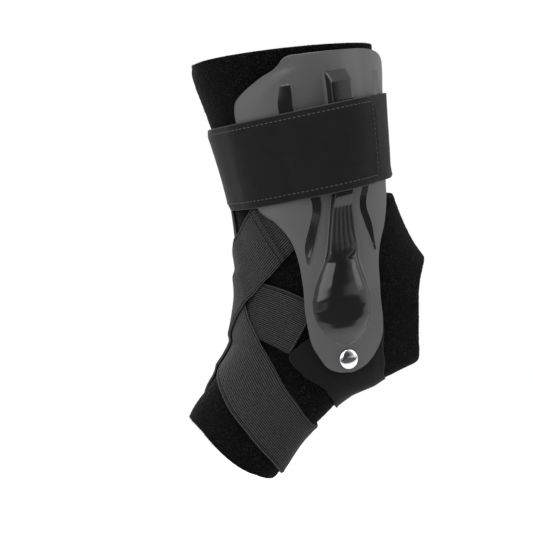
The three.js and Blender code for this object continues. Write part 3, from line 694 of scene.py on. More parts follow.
# Middle line of a strap at even steps, with its directions along and across
def strapStations(path, stepLength, fineEnd=0.0, fineStep=0.4):
    shares = np.linspace(0, 1, 600)
    places = curveThrough(path, shares)
    points = formPoint(places[:, 0], places[:, 1])
    lengths = np.concatenate([[0], np.cumsum(np.linalg.norm(np.diff(points, axis=0), axis=1))])
    total = lengths[-1]
    along = np.linspace(0, total - fineEnd, int(round((total - fineEnd) / stepLength)) + 1)
    if fineEnd:
        along = np.concatenate([along, np.linspace(along[-1], total, int(round(fineEnd / fineStep)) + 1)[1:]])
    even = np.interp(along, lengths, shares)
    places, ahead, behind = (curveThrough(path, even + step) for step in (0, 1e-3, -1e-3))
    u, theta = places[:, 0], places[:, 1]
    normal = formSlopes(u, theta)[2]
    tangent = formPoint(ahead[:, 0], ahead[:, 1]) - formPoint(behind[:, 0], behind[:, 1])
    tangent -= normal * dot(tangent, normal)[:, None]
    tangent /= np.linalg.norm(tangent, axis=-1, keepdims=True)
    return {"u": u, "theta": theta, "point": formPoint(u, theta), "normal": normal, "tangent": tangent,
            "across": np.cross(normal, tangent), "along": along}


# How far points of the form lie outside a strap's outline
def outsideOf(strap, points):
    flat = points.reshape(-1, 3)
    stations, width = strap["stations"], strap["width"]
    nearest = np.concatenate([
        np.argmin(np.linalg.norm(part[:, None] - stations["point"][None], axis=-1), axis=1)
        for part in np.array_split(flat, max(1, len(flat) // 4000))])
    away = flat - stations["point"][nearest]
    pastEnd = dot(away, stations["tangent"][nearest]) * np.where(nearest == 0, -1, 1)
    isEnd = (nearest == 0) | (nearest == len(stations["u"]) - 1)
    outside = np.maximum(np.abs(dot(away, stations["across"][nearest])) - width / 2,
                         np.where(isEnd, pastEnd, -width))
    farOff = np.abs(dot(away, stations["normal"][nearest])) > width / 2
    return np.where(farOff, width, outside).reshape(points.shape[:-1])


def riseOver(straps, points):
    rise = np.zeros(points.shape[:-1])
    for under in straps:
        cover = 1 - smoothStep(outsideOf(under, points), strapSizes["margin"],
                               strapSizes["margin"] + strapSizes["ramp"])
        step = riseOver(under["over"], points) + layers["elastic"] + layers["overStrap"]
        rise = np.maximum(rise, cover * step)
    return rise


# Section of a ribbed strap as (across, height share, rib relief), over the top and back underneath
def ribbedSection(width, ribs, pointsPerRib, ribDepth, edgeBead, rimSteps=4):
    thick = layers["elastic"]
    half = width / 2 - thick / 2
    across = np.linspace(-half, half, ribs * pointsPerRib + 1)
    wave = np.abs(np.sin(np.pi * ribs * (across + half) / (2 * half))) ** 0.6
    bead = np.exp(-((np.abs(across) - half) / 0.9) ** 2) * edgeBead
    top = thick - ribDepth * (1 - wave) + bead
    angles = np.linspace(0, np.pi, rimSteps + 2)[1:-1]
    rimAcross, rimHeight = np.sin(angles) * thick / 2, thick / 2 + np.cos(angles) * thick / 2
    upper = [(s, h) for s, h in zip(across, top)]
    far = [(half + s, h) for s, h in zip(rimAcross[:rimSteps // 2], rimHeight)]
    farLow = [(half + s, h) for s, h in zip(rimAcross[rimSteps // 2:], rimHeight[rimSteps // 2:])]
    near = [(-half - s, h) for s, h in zip(rimAcross[:rimSteps // 2], rimHeight)]
    nearLow = [(-half - s, h) for s, h in zip(rimAcross[rimSteps // 2:], rimHeight[rimSteps // 2:])]
    lower = [(s, 0.0) for s in across[::-1]]
    return np.array(near[::-1] + upper + far + farLow + lower + nearLow[::-1])


def buildStrap(name, node, path, width, over=(), extra=None, fineEnd=0.0):
    sizes = strapSizes
    stations = strapStations(path, sizes["stepLength"], fineEnd)
    strap = {"stations": stations, "width": width, "over": list(over)}
    section = ribbedSection(width, sizes["ribs"], sizes["pointsPerRib"], sizes["ribDepth"], sizes["edgeBead"])
    across, height = section[:, 0], section[:, 1]
    rows, count = len(stations["u"]), len(section)
    u = np.repeat(stations["u"][:, None], count, 1)
    theta = np.repeat(stations["theta"][:, None], count, 1)
    heading = stations["across"][:, None, :] * np.where(across < 0, -1.0, 1.0)[None, :, None]
    u, theta = walkOver(u, theta, heading, np.abs(across)[None, :] * np.ones((rows, 1)))
    along = stations["along"][:, None] * np.ones((1, count))
    ends = np.minimum(along, along[-1:] - along)
    rounding = np.sqrt(np.clip(1 - (1 - np.clip(ends / 1.2, 0, 1)) ** 2, 0.12, 1))
    middle = layers["elastic"] / 2
    height = middle + (height[None, :] - middle) * rounding
    onTop = np.where(section[:, 1] > middle, 1.0, 0.0)[None, :]
    # painted shadow line on the top face, just inside the raised edge
    lineMark = 0.8 * onTop * np.exp(-((width / 2 - np.abs(across) - sizes["edgeShadeLine"]) / 0.35) ** 2)[None, :]
    lineMark = lineMark * np.ones_like(along)
    if extra is not None:
        raised, stitchShade = extra(across[None, :], along)
        height = height + onTop * raised
        # painted shade along the hem's stitch grooves
        lineMark = np.maximum(lineMark, onTop * stitchShade)
    base = formPoint(u, theta)
    rise = layers["onSleeve"] + riseOver(over, base)
    grid = base + formSlopes(u, theta)[2] * (rise + height)[..., None]
    points, faces = loftSections(grid)
    ribShare = across / (width - layers["elastic"]) * sizes["ribs"] / ribsPerCm
    uv = np.stack([np.broadcast_to(ribShare, along.shape), along / 10], -1).reshape(-1, 2)
    makePiece(name, points, faces, ribbed, node, uv, {"lineMark": lineMark.ravel()})
    strap["face"] = grid[:, 2:3 + sizes["ribs"] * sizes["pointsPerRib"]]
    return strap


# Line over a strap's face, for stitches: places along it for places across it
def lineOnStrap(strap, across, along):
    face, half = strap["face"], (strap["width"] - layers["elastic"]) / 2
    row = np.interp(along, strap["stations"]["along"], np.arange(len(face)))
    column = np.interp(across, np.linspace(-half, half, face.shape[1]), np.arange(face.shape[1]))

    def at(rows, columns):
        rows, columns = np.clip(rows, 0, len(face) - 1.001), np.clip(columns, 0, face.shape[1] - 1.001)
        i, j = rows.astype(int), columns.astype(int)
        a, b = (rows - i)[:, None], (columns - j)[:, None]
        return ((1 - a) * ((1 - b) * face[i, j] + b * face[i, j + 1])
                + a * ((1 - b) * face[i + 1, j] + b * face[i + 1, j + 1]))
    u = np.interp(along, strap["stations"]["along"], strap["stations"]["u"])
    theta = np.interp(along, strap["stations"]["along"], strap["stations"]["theta"])
    return at(row, column), formSlopes(u, theta)[2]


# Doubled hem near the upper strap's end, slanting across it
hemSizes = {"fromEnd": 11.5, "slant": -0.38, "width": 7.0, "height": 1.1, "groove": 0.7,
            "stitchesIn": 1.4, "fineEnd": 34.0}


def hemRelief(length):
    sizes = hemSizes
    middleLine = length - sizes["fromEnd"]

    def relief(across, along):
        offset = along - middleLine + sizes["slant"] * across
        body = smoothStep(sizes["width"] / 2 - np.abs(offset), -0.5, 0.7) * sizes["height"]
        stitch = np.exp(-((np.abs(offset) - sizes["width"] / 2 + sizes["stitchesIn"]) / 0.45) ** 2)
        # The stitch lines are also returned for painted shade in the grooves
        return body - stitch * sizes["groove"], stitch
    return relief


saddle = buildStrap("saddle_elastic", "saddle_strap", saddlePath, strapSizes["saddleWidth"])
lower = buildStrap("cross_elastic_lower", "cross_strap_lower", lowerPath, strapSizes["crossWidth"],
                   [saddle])
upperLength = strapStations(upperPath, strapSizes["stepLength"])["along"][-1]
upper = buildStrap("cross_elastic_upper", "cross_strap_upper", upperPath, strapSizes["crossWidth"],
                   [saddle, lower], hemRelief(upperLength), hemSizes["fineEnd"])
print("elastic straps made")

# Heel stirrup: both edges as (front u, front theta, back u, back theta), from the tab to the underside
stirrupHalf = [
    (0.578, 59, 0.575, 97),
    (0.602, 52.4, 0.590, 97.5),
    (0.630, 48.9, 0.618, 99),
    (0.656, 52.6, 0.645, 102),
    (0.680, 59.0, 0.672, 107),
    (0.706, 66, 0.700, 112),
    (0.748, 82, 0.727, 120),
    (0.784, 95, 0.750, 131),
    (0.825, 114, 0.771, 145),
    (0.854, 140, 0.784, 160),
    (0.868, 180, 0.790, 180),
]
stirrupSizes = {"alongSteps": 220, "acrossSteps": 40, "edgeSeam": 3.0, "seamDepth": 0.3,
                "backEdge": 0.3, "backTaper": 11.0}  # it thins out towards its back edge


def buildStirrup(sizes):
    otherSide = [(fu, 360 - ft, bu, 360 - bt) for fu, ft, bu, bt in reversed(stirrupHalf[:-1])]
    rows = curveThrough(stirrupHalf + otherSide, np.linspace(0, 1, sizes["alongSteps"] + 1))
    part = np.linspace(0, 1, sizes["acrossSteps"] + 1)[None, :]
    u = rows[:, :1] + (rows[:, 2:3] - rows[:, :1]) * part
    theta = rows[:, 1:2] + (rows[:, 3:4] - rows[:, 1:2]) * part
    base, normal = formPoint(u, theta), formSlopes(u, theta)[2]
    acrossStep = np.linalg.norm(np.diff(base, axis=1), axis=-1)
    across = np.concatenate([np.zeros((len(base), 1)), np.cumsum(acrossStep, axis=1)], axis=1)
    middle = base[:, sizes["acrossSteps"] // 2]
    along = np.concatenate([[0], np.cumsum(np.linalg.norm(np.diff(middle, axis=0), axis=-1))])
    along = along[:, None] * np.ones_like(across)
    toEdge = np.minimum(across, np.minimum(along, along[-1:] - along))
    lineMark = np.exp(-((toEdge - sizes["edgeSeam"]) / 0.5) ** 2) * sizes["seamDepth"]
    full = smoothStep(across[:, -1:] - across, 0, sizes["backTaper"])
    thin = sizes["backEdge"] + (1 - sizes["backEdge"]) * full
    inner = base + normal * layers["onSleeve"]
    outer = base + normal * (layers["onSleeve"] + layers["stirrup"] * thin - lineMark)[..., None]
    columns = sizes["acrossSteps"] + 1
    points, faces = thickenSheet(flatRows(inner), flatRows(outer), gridFaces(len(base), columns))
    uv = flatRows(np.stack([across, along], -1)) / 10
    uv = np.concatenate([uv, uv, np.zeros((len(points) - 2 * len(uv), 2))])
    return makePiece("stirrup_webbing", points, faces, webbing, "heel_stirrup", uv)


buildStirrup(stirrupSizes)
print("stirrup made")

# Side shells: angles of the front and back edges by u
shellRows = [
    # u, front, back
    (0.0130, 73, 112),
    (0.0150, 69, 121),
    (0.0200, 66, 130),
    (0.0280, 63.5, 137),
    (0.0370, 59, 141),
    (0.0450, 52, 143),
    (0.0560, 44.5, 143),
    (0.0690, 36.5, 142.5),
    (0.0830, 31, 141),
    (0.113, 28, 137),
    (0.190, 27, 130),
    (0.262, 28, 123),
    (0.300, 40, 120),
    (0.345, 49, 114),
    (0.395, 53, 105),
    (0.450, 54, 99),
    (0.510, 54, 95),
    (0.565, 56, 94),
    (0.608, 60, 94),
    (0.660, 70, 92),
    (0.680, 76, 89),
    (0.688, 81, 87),
]
shellSizes = {
    "rowSteps": 240,
    "hug": 1.2, "hugWithin": 20.0,   # the front edge lies down towards the sleeve, above these u
    "hugFrom": 0.25, "hugTo": 0.30,
    "shiftFrom": 0.28, "shiftTo": 0.36,  # u where a shifted front edge comes back
    "plainAbove": 0.012, "plainBelow": 0.66,  # no side ribs past these u
    "boxPower": 24,
    "domePower": 2.6,
    "ribTop": 0.053,           # u where the box rib's slanting upper end starts
    "ribTopStep": 0.021,
    "sideHeight": 1.3,
    "sideTop": 0.064,          # u of the side ribs' upper ends
    "sideTopStep": 0.003,
    "sideEnd": 0.402,          # and of their lower ends
    "fluteFrom": 0.275, "fluteTo": 0.395, "flutes": 6, "fluteDepth": 0.6,
    "fluteDull": 0.45,         # how much less polished the flutes' ridges are
    "lowPaintedReflection": 0.32,           # the bottom of the dome is less polished between these u: rougher, and painted lighter as a painted reflection of the pale floor
    "lowPaintedReflectionFrom": 0.552, "lowPaintedReflectionTo": 0.588,
}
shellSides = [
    # piece, node, side, degrees that the front edge is shifted back above the ankle
    ("shell_inner_side", "shell_medial", 1, 0.0),
    ("shell_outer_side", "shell_lateral", -1, 20.0),
]
# Box rib that widens into the ankle dome: angles of its two sides, height, and swell, which is 0
# where it is a square box and 1 where it is a rounded dome
domeRows = [
    # u, front side, back side, height, swell
    (0.053, 87.6, 101.6, 7.0, 0.00),
    (0.113, 86.0, 100.0, 7.0, 0.00),
    (0.190, 82.3, 95.2, 6.8, 0.00),
    (0.263, 78.2, 90.6, 6.4, 0.00),
    (0.285, 76.6, 90.2, 3.9, 0.04),
    (0.345, 73.0, 90.0, 3.2, 0.16),
    (0.381, 70.6, 90.0, 3.3, 0.30),
    (0.406, 68.0, 88.6, 3.9, 0.50),
    (0.431, 64.0, 88.6, 4.7, 0.75),
    (0.463, 60.2, 89.0, 5.2, 0.95),
    (0.494, 58.0, 89.2, 5.4, 1.00),
    (0.520, 58.2, 89.0, 5.2, 1.00),
    (0.545, 59.8, 87.8, 4.6, 0.95),
    (0.565, 62.6, 85.6, 3.7, 0.90),
    (0.580, 64.9, 84.2, 2.6, 0.80),
    (0.592, 67.9, 82.0, 1.3, 0.60),
    (0.600, 71.0, 79.4, 0.4, 0.40),
    (0.604, 73.8, 77.0, 0.0, 0.20),
    (0.640, 77.0, 79.0, 0.0, 0.00),
    (0.660, 80.0, 82.0, 0.0, 0.00),
    (0.680, 81.8, 83.2, 0.0, 0.00),
    (0.688, 83.6, 84.4, 0.0, 0.00),
]
# Side ribs: middle angle and half width in degrees by u
frontRib = [(0.064, 65.2, 2.8), (0.080, 63.0, 4.7), (0.113, 61.0, 5.0), (0.190, 63.5, 4.4),
            (0.275, 69.0, 3.0), (0.319, 65.0, 3.0), (0.363, 60.5, 3.6), (0.402, 58.0, 0.3)]
backRib = [(0.060, 127.0, 1.8), (0.113, 126.0, 2.6), (0.200, 112.0, 2.6), (0.294, 97.8, 2.6),
           (0.344, 100.5, 2.6), (0.388, 100.5, 0.3), (0.402, 100.5, 0.2)]
# Where the mesh has its columns across the dome, from its middle to an edge, and across a side rib
halfDome = [0.1, 0.2, 0.3, 0.4, 0.5, 0.6, 0.7, 0.78, 0.85, 0.9, 0.93, 0.955, 0.975, 0.99, 1]
domeShares = [-share for share in reversed(halfDome)] + [0] + halfDome
sideShares = [-1, -0.9, -0.6, -0.3, 0, 0.3, 0.55, 0.72, 0.82, 0.92, 1]


def column(values):
    return values[:, None]


def evenSteps(a, b, count):
    return [a + (b - a) * k / count for k in range(count)]


# Column of a rib table at the shell's rows, blurred a little along u
def ribAt(table, at, u, blur=0.003):
    places, values = [row[0] for row in table], [row[at] for row in table]
    shifts = (-1.5, -1, -0.5, 0, 0.5, 1, 1.5)
    return np.mean([np.interp(u + shift * blur, places, values) for shift in shifts], axis=0)


# Grid over a shell: u, theta, relief outside, relief inside, and polish
def shellGrid(sizes, frontShift):
    rows = curveThrough(shellRows, np.linspace(0, 1, 2400))
    wanted = np.linspace(shellRows[0][0], shellRows[-1][0], sizes["rowSteps"] + 1)
    steps = [(sizes["ribTop"], sizes["ribTopStep"]), (sizes["sideTop"], sizes["sideTopStep"])]
    sharp = [at + step * part for at, step in steps for part in (-0.02, 0.02, 0.35, 0.65, 0.98, 1.02)]
    corner = wanted[0] + np.array([0.0004, 0.0009, 0.0016])
    wanted = np.unique(np.concatenate([wanted, sharp, corner]))
    table = np.stack([np.interp(wanted, rows[:, 0], rows[:, k]) for k in range(rows.shape[1])], -1)
    u, front, back = table.T
    front = front + frontShift * (1 - smoothStep(u, sizes["shiftFrom"], sizes["shiftTo"]))
    frontSide, backSide = ribAt(domeRows, 1, u), ribAt(domeRows, 2, u)
    rise, swell = ribAt(domeRows, 3, u), ribAt(domeRows, 4, u)
    centre, half = (frontSide + backSide) / 2, (backSide - frontSide) / 2
    half = np.minimum(half, 0.84 * np.minimum(centre - front, back - centre))
    frontHalf, backHalf = ribAt(frontRib, 2, u, 0.009), ribAt(backRib, 2, u, 0.009)
    frontAt = np.clip(ribAt(frontRib, 1, u, 0.012), front + frontHalf + 0.5, centre - half - frontHalf - 0.5)
    backAt = np.clip(ribAt(backRib, 1, u, 0.012), centre + half + backHalf + 0.5, back - backHalf - 0.5)
    narrow = (u < sizes["plainAbove"]) | (u > sizes["plainBelow"])
    frontAt = np.where(narrow, (front + centre - half) / 2, frontAt)
    backAt = np.where(narrow, (back + centre + half) / 2, backAt)
    frontHalf = np.minimum(frontHalf, (centre - half - front) / 3)
    backHalf = np.minimum(backHalf, (back - centre - half) / 3)
    rise = rise * np.clip((u - sizes["ribTop"]) / sizes["ribTopStep"], 0, 1)
    sideRise = smoothStep(u, sizes["sideTop"], sizes["sideTop"] + sizes["sideTopStep"])
    sideRise = sideRise * (u < sizes["sideEnd"])
    stations = evenSteps(front, frontAt - frontHalf, 12)
    stations += [frontAt + share * frontHalf for share in sideShares]
    stations += evenSteps(frontAt + frontHalf, centre - half, 8)[1:]
    stations += [centre + share * half for share in domeShares]
    stations += evenSteps(centre + half, backAt - backHalf, 8)[1:]
    stations += [backAt + share * backHalf for share in sideShares]
    stations += evenSteps(backAt + backHalf, back, 12)[1:] + [back]
    theta = np.stack(stations, -1)
    across = np.clip(np.abs(theta - column(centre)) / column(half), 0, 1)
    power = sizes["boxPower"] + (sizes["domePower"] - sizes["boxPower"]) * np.clip(2 * swell, 0, 1)
    dome = column(rise) * (1 - across ** column(power))
    fluted = smoothStep(u, sizes["fluteFrom"], sizes["fluteFrom"] + 0.02)
    fluted = fluted * (1 - smoothStep(u, sizes["fluteTo"] - 0.045, sizes["fluteTo"]))
    wave = np.cos(2 * np.pi * sizes["flutes"] * (theta - column(centre)) / column(half) / 2)
    groove = column(fluted) * (0.5 + 0.5 * wave) * (1 - smoothStep(across, 0.78, 0.95))
    dome -= groove * sizes["fluteDepth"]
    relief = dome
    dullAndPaintedReflection = sizes["fluteDull"] * column(fluted) * (0.5 - 0.5 * wave)
    # Less polish at the dome's bottom: rougher, and painted lighter, a painted reflection of the pale floor
    dullAndPaintedReflection = dullAndPaintedReflection + sizes["lowPaintedReflection"] * column(smoothStep(u, sizes["lowPaintedReflectionFrom"], sizes["lowPaintedReflectionTo"]))
    polish = (across < 0.999) * column(rise > 0.1) * (1 - dullAndPaintedReflection)
    for at, toSide in ((frontAt, frontHalf), (backAt, backHalf)):
        place = (theta - column(at)) / column(toSide)
        wedge = np.where(place < 0.72, (place + 1) / 1.72, (1 - place) / 0.28)
        relief = np.maximum(relief, column(sideRise * sizes["sideHeight"]) * np.clip(wedge, 0, 1))
        polish = np.maximum(polish, (np.abs(place) < 0.999) * (place < 0.75) * column(sideRise > 0.5))
    hug = sizes["hug"] * (1 - smoothStep(theta - column(front), 0, sizes["hugWithin"]))
    hug = hug * column(1 - smoothStep(u, sizes["hugFrom"], sizes["hugTo"]))
    under = dome * column(swell)
    return column(u) * np.ones_like(theta), theta, relief - hug, under - hug, polish.astype(float)


def buildShell(name, node, side, frontShift):
    u, theta, relief, under, polish = shellGrid(shellSizes, frontShift)
    inner = formOffset(u, side * theta, layers["shellInside"] + under)
    outer = formOffset(u, side * theta, layers["shellOutside"] + relief)
    points, faces = thickenSheet(flatRows(inner), flatRows(outer), gridFaces(*u.shape), 6, 0.9)
    rim = len(points) - 2 * polish.size
    values = {"polish": np.concatenate([np.zeros(polish.size), polish.ravel(), np.zeros(rim)]),
              "edge": np.concatenate([np.zeros(2 * polish.size), np.ones(rim)])}
    return makePiece(name, points, faces, plastic, node, values=values)


for shellSide in shellSides:
    buildShell(*shellSide)
print("shells made")

# Rivets: a domed cap with a thin brim, on a shank
rivetSizes = {"u": 0.645, "theta": 80.0, "radius": 6.2, "rise": 2.6, "brim": 0.5, "shank": 2.4,
              "depth": 3.8, "gap": 0.3, "sides": 72}


def buildRivet(name, node, side):
    sizes = rivetSizes
    theta = side * sizes["theta"]
    normal = formSlopes(sizes["u"], theta)[2]
    seat = formOffset(sizes["u"], theta, layers["shellOutside"])
    first = np.cross(normal, [0.0, 0.0, 1.0])
    first /= np.linalg.norm(first)
    second = np.cross(normal, first)
    profile = [(sizes["shank"], -sizes["depth"]), (sizes["shank"], sizes["gap"]),
               (sizes["radius"] - 0.4, sizes["gap"]), (sizes["radius"], sizes["gap"] + 0.25)]
    for angle in np.linspace(0, 88, 24):
        radius = sizes["radius"] * math.cos(math.radians(angle))
        profile.append((radius, sizes["gap"] + sizes["brim"]
                        + (sizes["rise"] - sizes["brim"]) * math.sin(math.radians(angle))))
    turns = np.arange(sizes["sides"]) * 2 * np.pi / sizes["sides"]
    ring = first * np.cos(turns)[:, None] + second * np.sin(turns)[:, None]
    points = np.concatenate([seat + ring * radius + normal * height for radius, height in profile])
    count, last = sizes["sides"], len(profile) - 1
    faces = []
    for i in range(last):
        for j in range(count):
            k = (j + 1) % count
            faces.append((i * count + j, i * count + k, (i + 1) * count + k, (i + 1) * count + j))
    faces += [tuple(range(count))[::-1], tuple(last * count + j for j in range(count))]
    return makePiece(name, points, faces, chrome, node)


buildRivet("rivet_inner_side", "rivet_medial", 1)
buildRivet("rivet_outer_side", "rivet_lateral", -1)
print("rivets made")

# Top strap: an elastic band round the back whose end lies under a smooth flap round the front.
# Angles are degrees round the upright middle line, from the front to the inner side.
topStrapSizes = {
    "low": 65.0,
    "width": 52.0,
    "gap": 0.7,
    "band": 2.0,
    "flap": 2.1,
    "flapStart": -100.0, "flapEnd": 113.5,
    "endRadius": 57.0,         # from the middle line to the flap's end
    "bandEnd": 76.0, "bandStart": 259.5,
    "overBand": 2.9,
    "riseFrom": 50.0, "riseTo": 64.0,
    "bulge": 1.0, "bulgeHalf": 70.0,
    "corner": 7.5,
    "edgeRoll": 1.3,
    "flapAround": 420, "flapAcross": 60,
    "bandAround": 240, "bandRibs": 34, "bandRibDepth": 0.07,
    "levels": 27,
}


# Convex loop round points seen from above
def convexLoop(points):
    def half(rows):
        loop = []
        for p in rows:
            while len(loop) > 1 and (loop[-1][0] - loop[-2][0]) * (p[1] - loop[-2][1]) \
                    <= (loop[-1][1] - loop[-2][1]) * (p[0] - loop[-2][0]):
                loop.pop()
            loop.append(p)
        return loop[:-1]
    rows = sorted(map(tuple, points))
    return np.array(half(rows) + half(rows[::-1]))


# Distance from the middle line to a convex loop, in directions given by their angles
def loopRadius(loop, turns):
    angle = np.radians(turns)[:, None]
    dx, dy = -np.cos(angle), -np.sin(angle)
    a, edge = loop[None], (np.roll(loop, -1, axis=0) - loop)[None]
    bottom = dx * edge[..., 1] - dy * edge[..., 0]
    bottom = np.where(np.abs(bottom) < 1e-9, 1e-9, bottom)
    share = (a[..., 1] * dx - a[..., 0] * dy) / -bottom
    reach = (a[..., 0] * edge[..., 1] - a[..., 1] * edge[..., 0]) / bottom
    return np.max(np.where((share >= 0) & (share <= 1) & (reach > 0), reach, 0), axis=1)


# What the strap goes round, as radii for levels and for every half degree, smoothed outwards
def wrapRadii(sizes):
    around = np.arange(0, 360, 3.0)
    shells = []
    for _, _, side, frontShift in shellSides:
        u, theta, relief = shellGrid(shellSizes, frontShift)[:3]
        shells.append(formOffset(u, side * theta, layers["shellOutside"] + relief).reshape(-1, 3))
    shells = np.concatenate(shells)
    turns = np.arange(720) / 2
    radii = []
    levels = np.linspace(sizes["low"], sizes["low"] + sizes["width"], sizes["levels"])
    for level in levels:
        lowU, highU = np.zeros(len(around)), np.full(len(around), 0.5)
        for _ in range(22):
            middle = (lowU + highU) / 2
            above = formPoint(middle, around)[:, 2] > level
            lowU, highU = np.where(above, middle, lowU), np.where(above, highU, middle)
        cloth = formOffset(lowU, around, layers["sleeveWall"])
        nearby = shells[np.abs(shells[:, 2] - level) < 1.3]
        radii.append(loopRadius(convexLoop(np.concatenate([cloth, nearby])[:, :2]), turns))
    radii = np.array(radii)
    for _ in range(2):
        padded = np.pad(radii, ((1, 1), (0, 0)), "edge")
        radii = np.maximum(radii, (padded[:-2] + radii + padded[2:]) / 3)
    widest = np.max([np.roll(radii, k, 1) for k in range(-4, 5)], axis=0)
    smooth = np.mean([np.roll(widest, k, 1) for k in range(-15, 16)], axis=0)
    return levels, np.maximum(smooth, radii - 0.5)


strapLevels, strapRadii = wrapRadii(topStrapSizes)


# Radius for heights and turns that need not lie on the table
def wrapRadius(height, turn):
    row = np.clip((height - strapLevels[0]) / (strapLevels[1] - strapLevels[0]), 0, len(strapLevels) - 1.001)
    column = np.mod(turn * 2, 720)
    i, j = row.astype(int), column.astype(int) % 720
    a, b = row - i, column - np.floor(column)
    k = (j + 1) % 720
    return ((1 - a) * ((1 - b) * strapRadii[i, j] + b * strapRadii[i, k])
            + a * ((1 - b) * strapRadii[i + 1, j] + b * strapRadii[i + 1, k]))


def aroundMiddle(radius, turn, height):
    angle = np.radians(turn)
    return np.stack([-radius * np.cos(angle), -radius * np.sin(angle), height * np.ones_like(radius)], -1)


# Cloth map of the top strap: across and along, in centimetres
def roundUv(height, turn, rim):
    meanRadius = 5.6
    uv = np.stack([height / 10, np.radians(turn) * meanRadius], -1).reshape(-1, 2)
    return np.concatenate([uv, uv, np.zeros((rim, 2))])


def buildTopBand(sizes):
    ribSteps = sizes["bandRibs"] * 4 + 1
    across = np.linspace(0.35, sizes["width"] - 0.35, ribSteps)
    turn = np.linspace(sizes["bandEnd"], sizes["bandStart"], sizes["bandAround"] + 1)
    height, turn = np.meshgrid(sizes["low"] + across, turn, indexing="ij")
    inner = wrapRadius(height, turn) + sizes["gap"]
    ribWave = np.abs(np.sin(np.pi * sizes["bandRibs"] * across / sizes["width"])) ** 0.6
    outer = inner + (sizes["band"] - sizes["bandRibDepth"] * (1 - ribWave))[:, None]
    inner, outer = aroundMiddle(inner, turn, height), aroundMiddle(outer, turn, height)
    points, faces = thickenSheet(flatRows(inner), flatRows(outer), gridFaces(*height.shape), 5, 0.8)
    uv = roundUv(height, turn, len(points) - 2 * height.size)
    return makePiece("top_band_elastic", points, faces, bandKnit, "top_strap_band", uv)


# Distance the flap's underside lies off what it goes round
def flapLift(turn):
    sizes = topStrapSizes
    bulge = sizes["bulge"] * np.cos(np.pi / 2 * np.clip(turn / sizes["bulgeHalf"], -1, 1))
    overBand = sizes["overBand"] * smoothStep(turn, sizes["riseFrom"], sizes["riseTo"])
    return sizes["gap"] + np.maximum(bulge, overBand)


# Outer radius of the flap, a little lower along its rolled edges
def flapFace(height, turn):
    sizes = topStrapSizes
    edge = np.minimum(height - sizes["low"], sizes["low"] + sizes["width"] - height)
    roll = sizes["edgeRoll"] * (1 - smoothStep(edge, -1, 5.0))
    return wrapRadius(height, turn) + flapLift(turn) + sizes["flap"] - roll


def flapEndAt(height):
    sizes = topStrapSizes
    edge = np.minimum(height - sizes["low"], sizes["low"] + sizes["width"] - height)
    inCorner = np.clip(sizes["corner"] - edge, 0, sizes["corner"])
    inset = sizes["corner"] - np.sqrt(sizes["corner"] ** 2 - inCorner ** 2)
    return sizes["flapEnd"] - np.degrees(inset / sizes["endRadius"])


def buildFlap(sizes):
    shares = np.linspace(-1, 1, sizes["flapAcross"] + 1)
    shares = np.sign(shares) * (1 - (1 - np.abs(shares)) ** 1.25)
    heights = sizes["low"] + sizes["width"] / 2 + shares * (sizes["width"] / 2 - 0.02)
    part = np.linspace(0, 1, sizes["flapAround"] + 1)
    height, part = np.meshgrid(heights, part, indexing="ij")
    turn = sizes["flapStart"] + part * (flapEndAt(height) - sizes["flapStart"])
    outer = flapFace(height, turn)
    inner = outer - sizes["flap"]
    inner, outer = aroundMiddle(inner, turn, height), aroundMiddle(outer, turn, height)
    points, faces = thickenSheet(flatRows(inner), flatRows(outer), gridFaces(*height.shape), 6, 0.7)
    rim = len(points) - 2 * height.size
    values = {"edge": np.concatenate([np.zeros(2 * height.size), np.ones(rim)])}
    uv = roundUv(height, turn, rim)
    return makePiece("flap_cloth", points, faces, flapKnit, "top_strap_flap", uv, values)


buildTopBand(topStrapSizes)
buildFlap(topStrapSizes)
print("top strap made")

# Stitches: short rounded threads that dip into the cloth at both ends
stitchSizes = {"pitch": 3.0, "length": 2.2, "radius": 0.27, "proud": 0.12, "sides": 6, "rings": 7,
               "fromTop": 3.0, "fromBottom": 4.0, "fromEnd": 3.2}


def alongLine(s, lengths, rows):
    return np.array([np.interp(s, lengths, rows[:, k]) for k in range(3)])


def buildStitches(name, lines, material, sizes):
    points, faces = [], []
    turns = np.arange(sizes["sides"]) * 2 * np.pi / sizes["sides"]
    for line, normals in lines:
        lengths = np.concatenate([[0], np.cumsum(np.linalg.norm(np.diff(line, axis=0), axis=1))])
        for n in range(int(lengths[-1] / sizes["pitch"])):
            start = (n + 0.5) * sizes["pitch"] - sizes["length"] / 2
            first = len(points)
            for r in range(sizes["rings"]):
                share = r / (sizes["rings"] - 1)
                s = start + share * sizes["length"]
                middle, normal = alongLine(s, lengths, line), alongLine(s, lengths, normals)
                normal /= np.linalg.norm(normal)
                tangent = alongLine(s + 0.2, lengths, line) - alongLine(s - 0.2, lengths, line)
                side = np.cross(normal, tangent / (np.linalg.norm(tangent) + 1e-9))
                arch = math.sin(math.pi * share)
                radius = sizes["radius"] * (0.55 + 0.45 * arch ** 0.5)
                middle = middle + normal * (sizes["proud"] * arch - sizes["radius"] * 0.9 * (1 - arch))
                for angle in turns:
                    points.append(middle + radius * (normal * math.cos(angle) + side * math.sin(angle)))
            count = sizes["sides"]
            for r in range(sizes["rings"] - 1):
                for j in range(count):
                    k = (j + 1) % count
                    faces.append((first + r * count + j, first + r * count + k,
                                  first + (r + 1) * count + k, first + (r + 1) * count + j))
            faces.append(tuple(first + j for j in range(count))[::-1])
            faces.append(tuple(first + (sizes["rings"] - 1) * count + j for j in range(count)))
    return makePiece(name, points, faces, material)


def onFlap(height, turn):
    return aroundMiddle(flapFace(height, turn), turn, height)


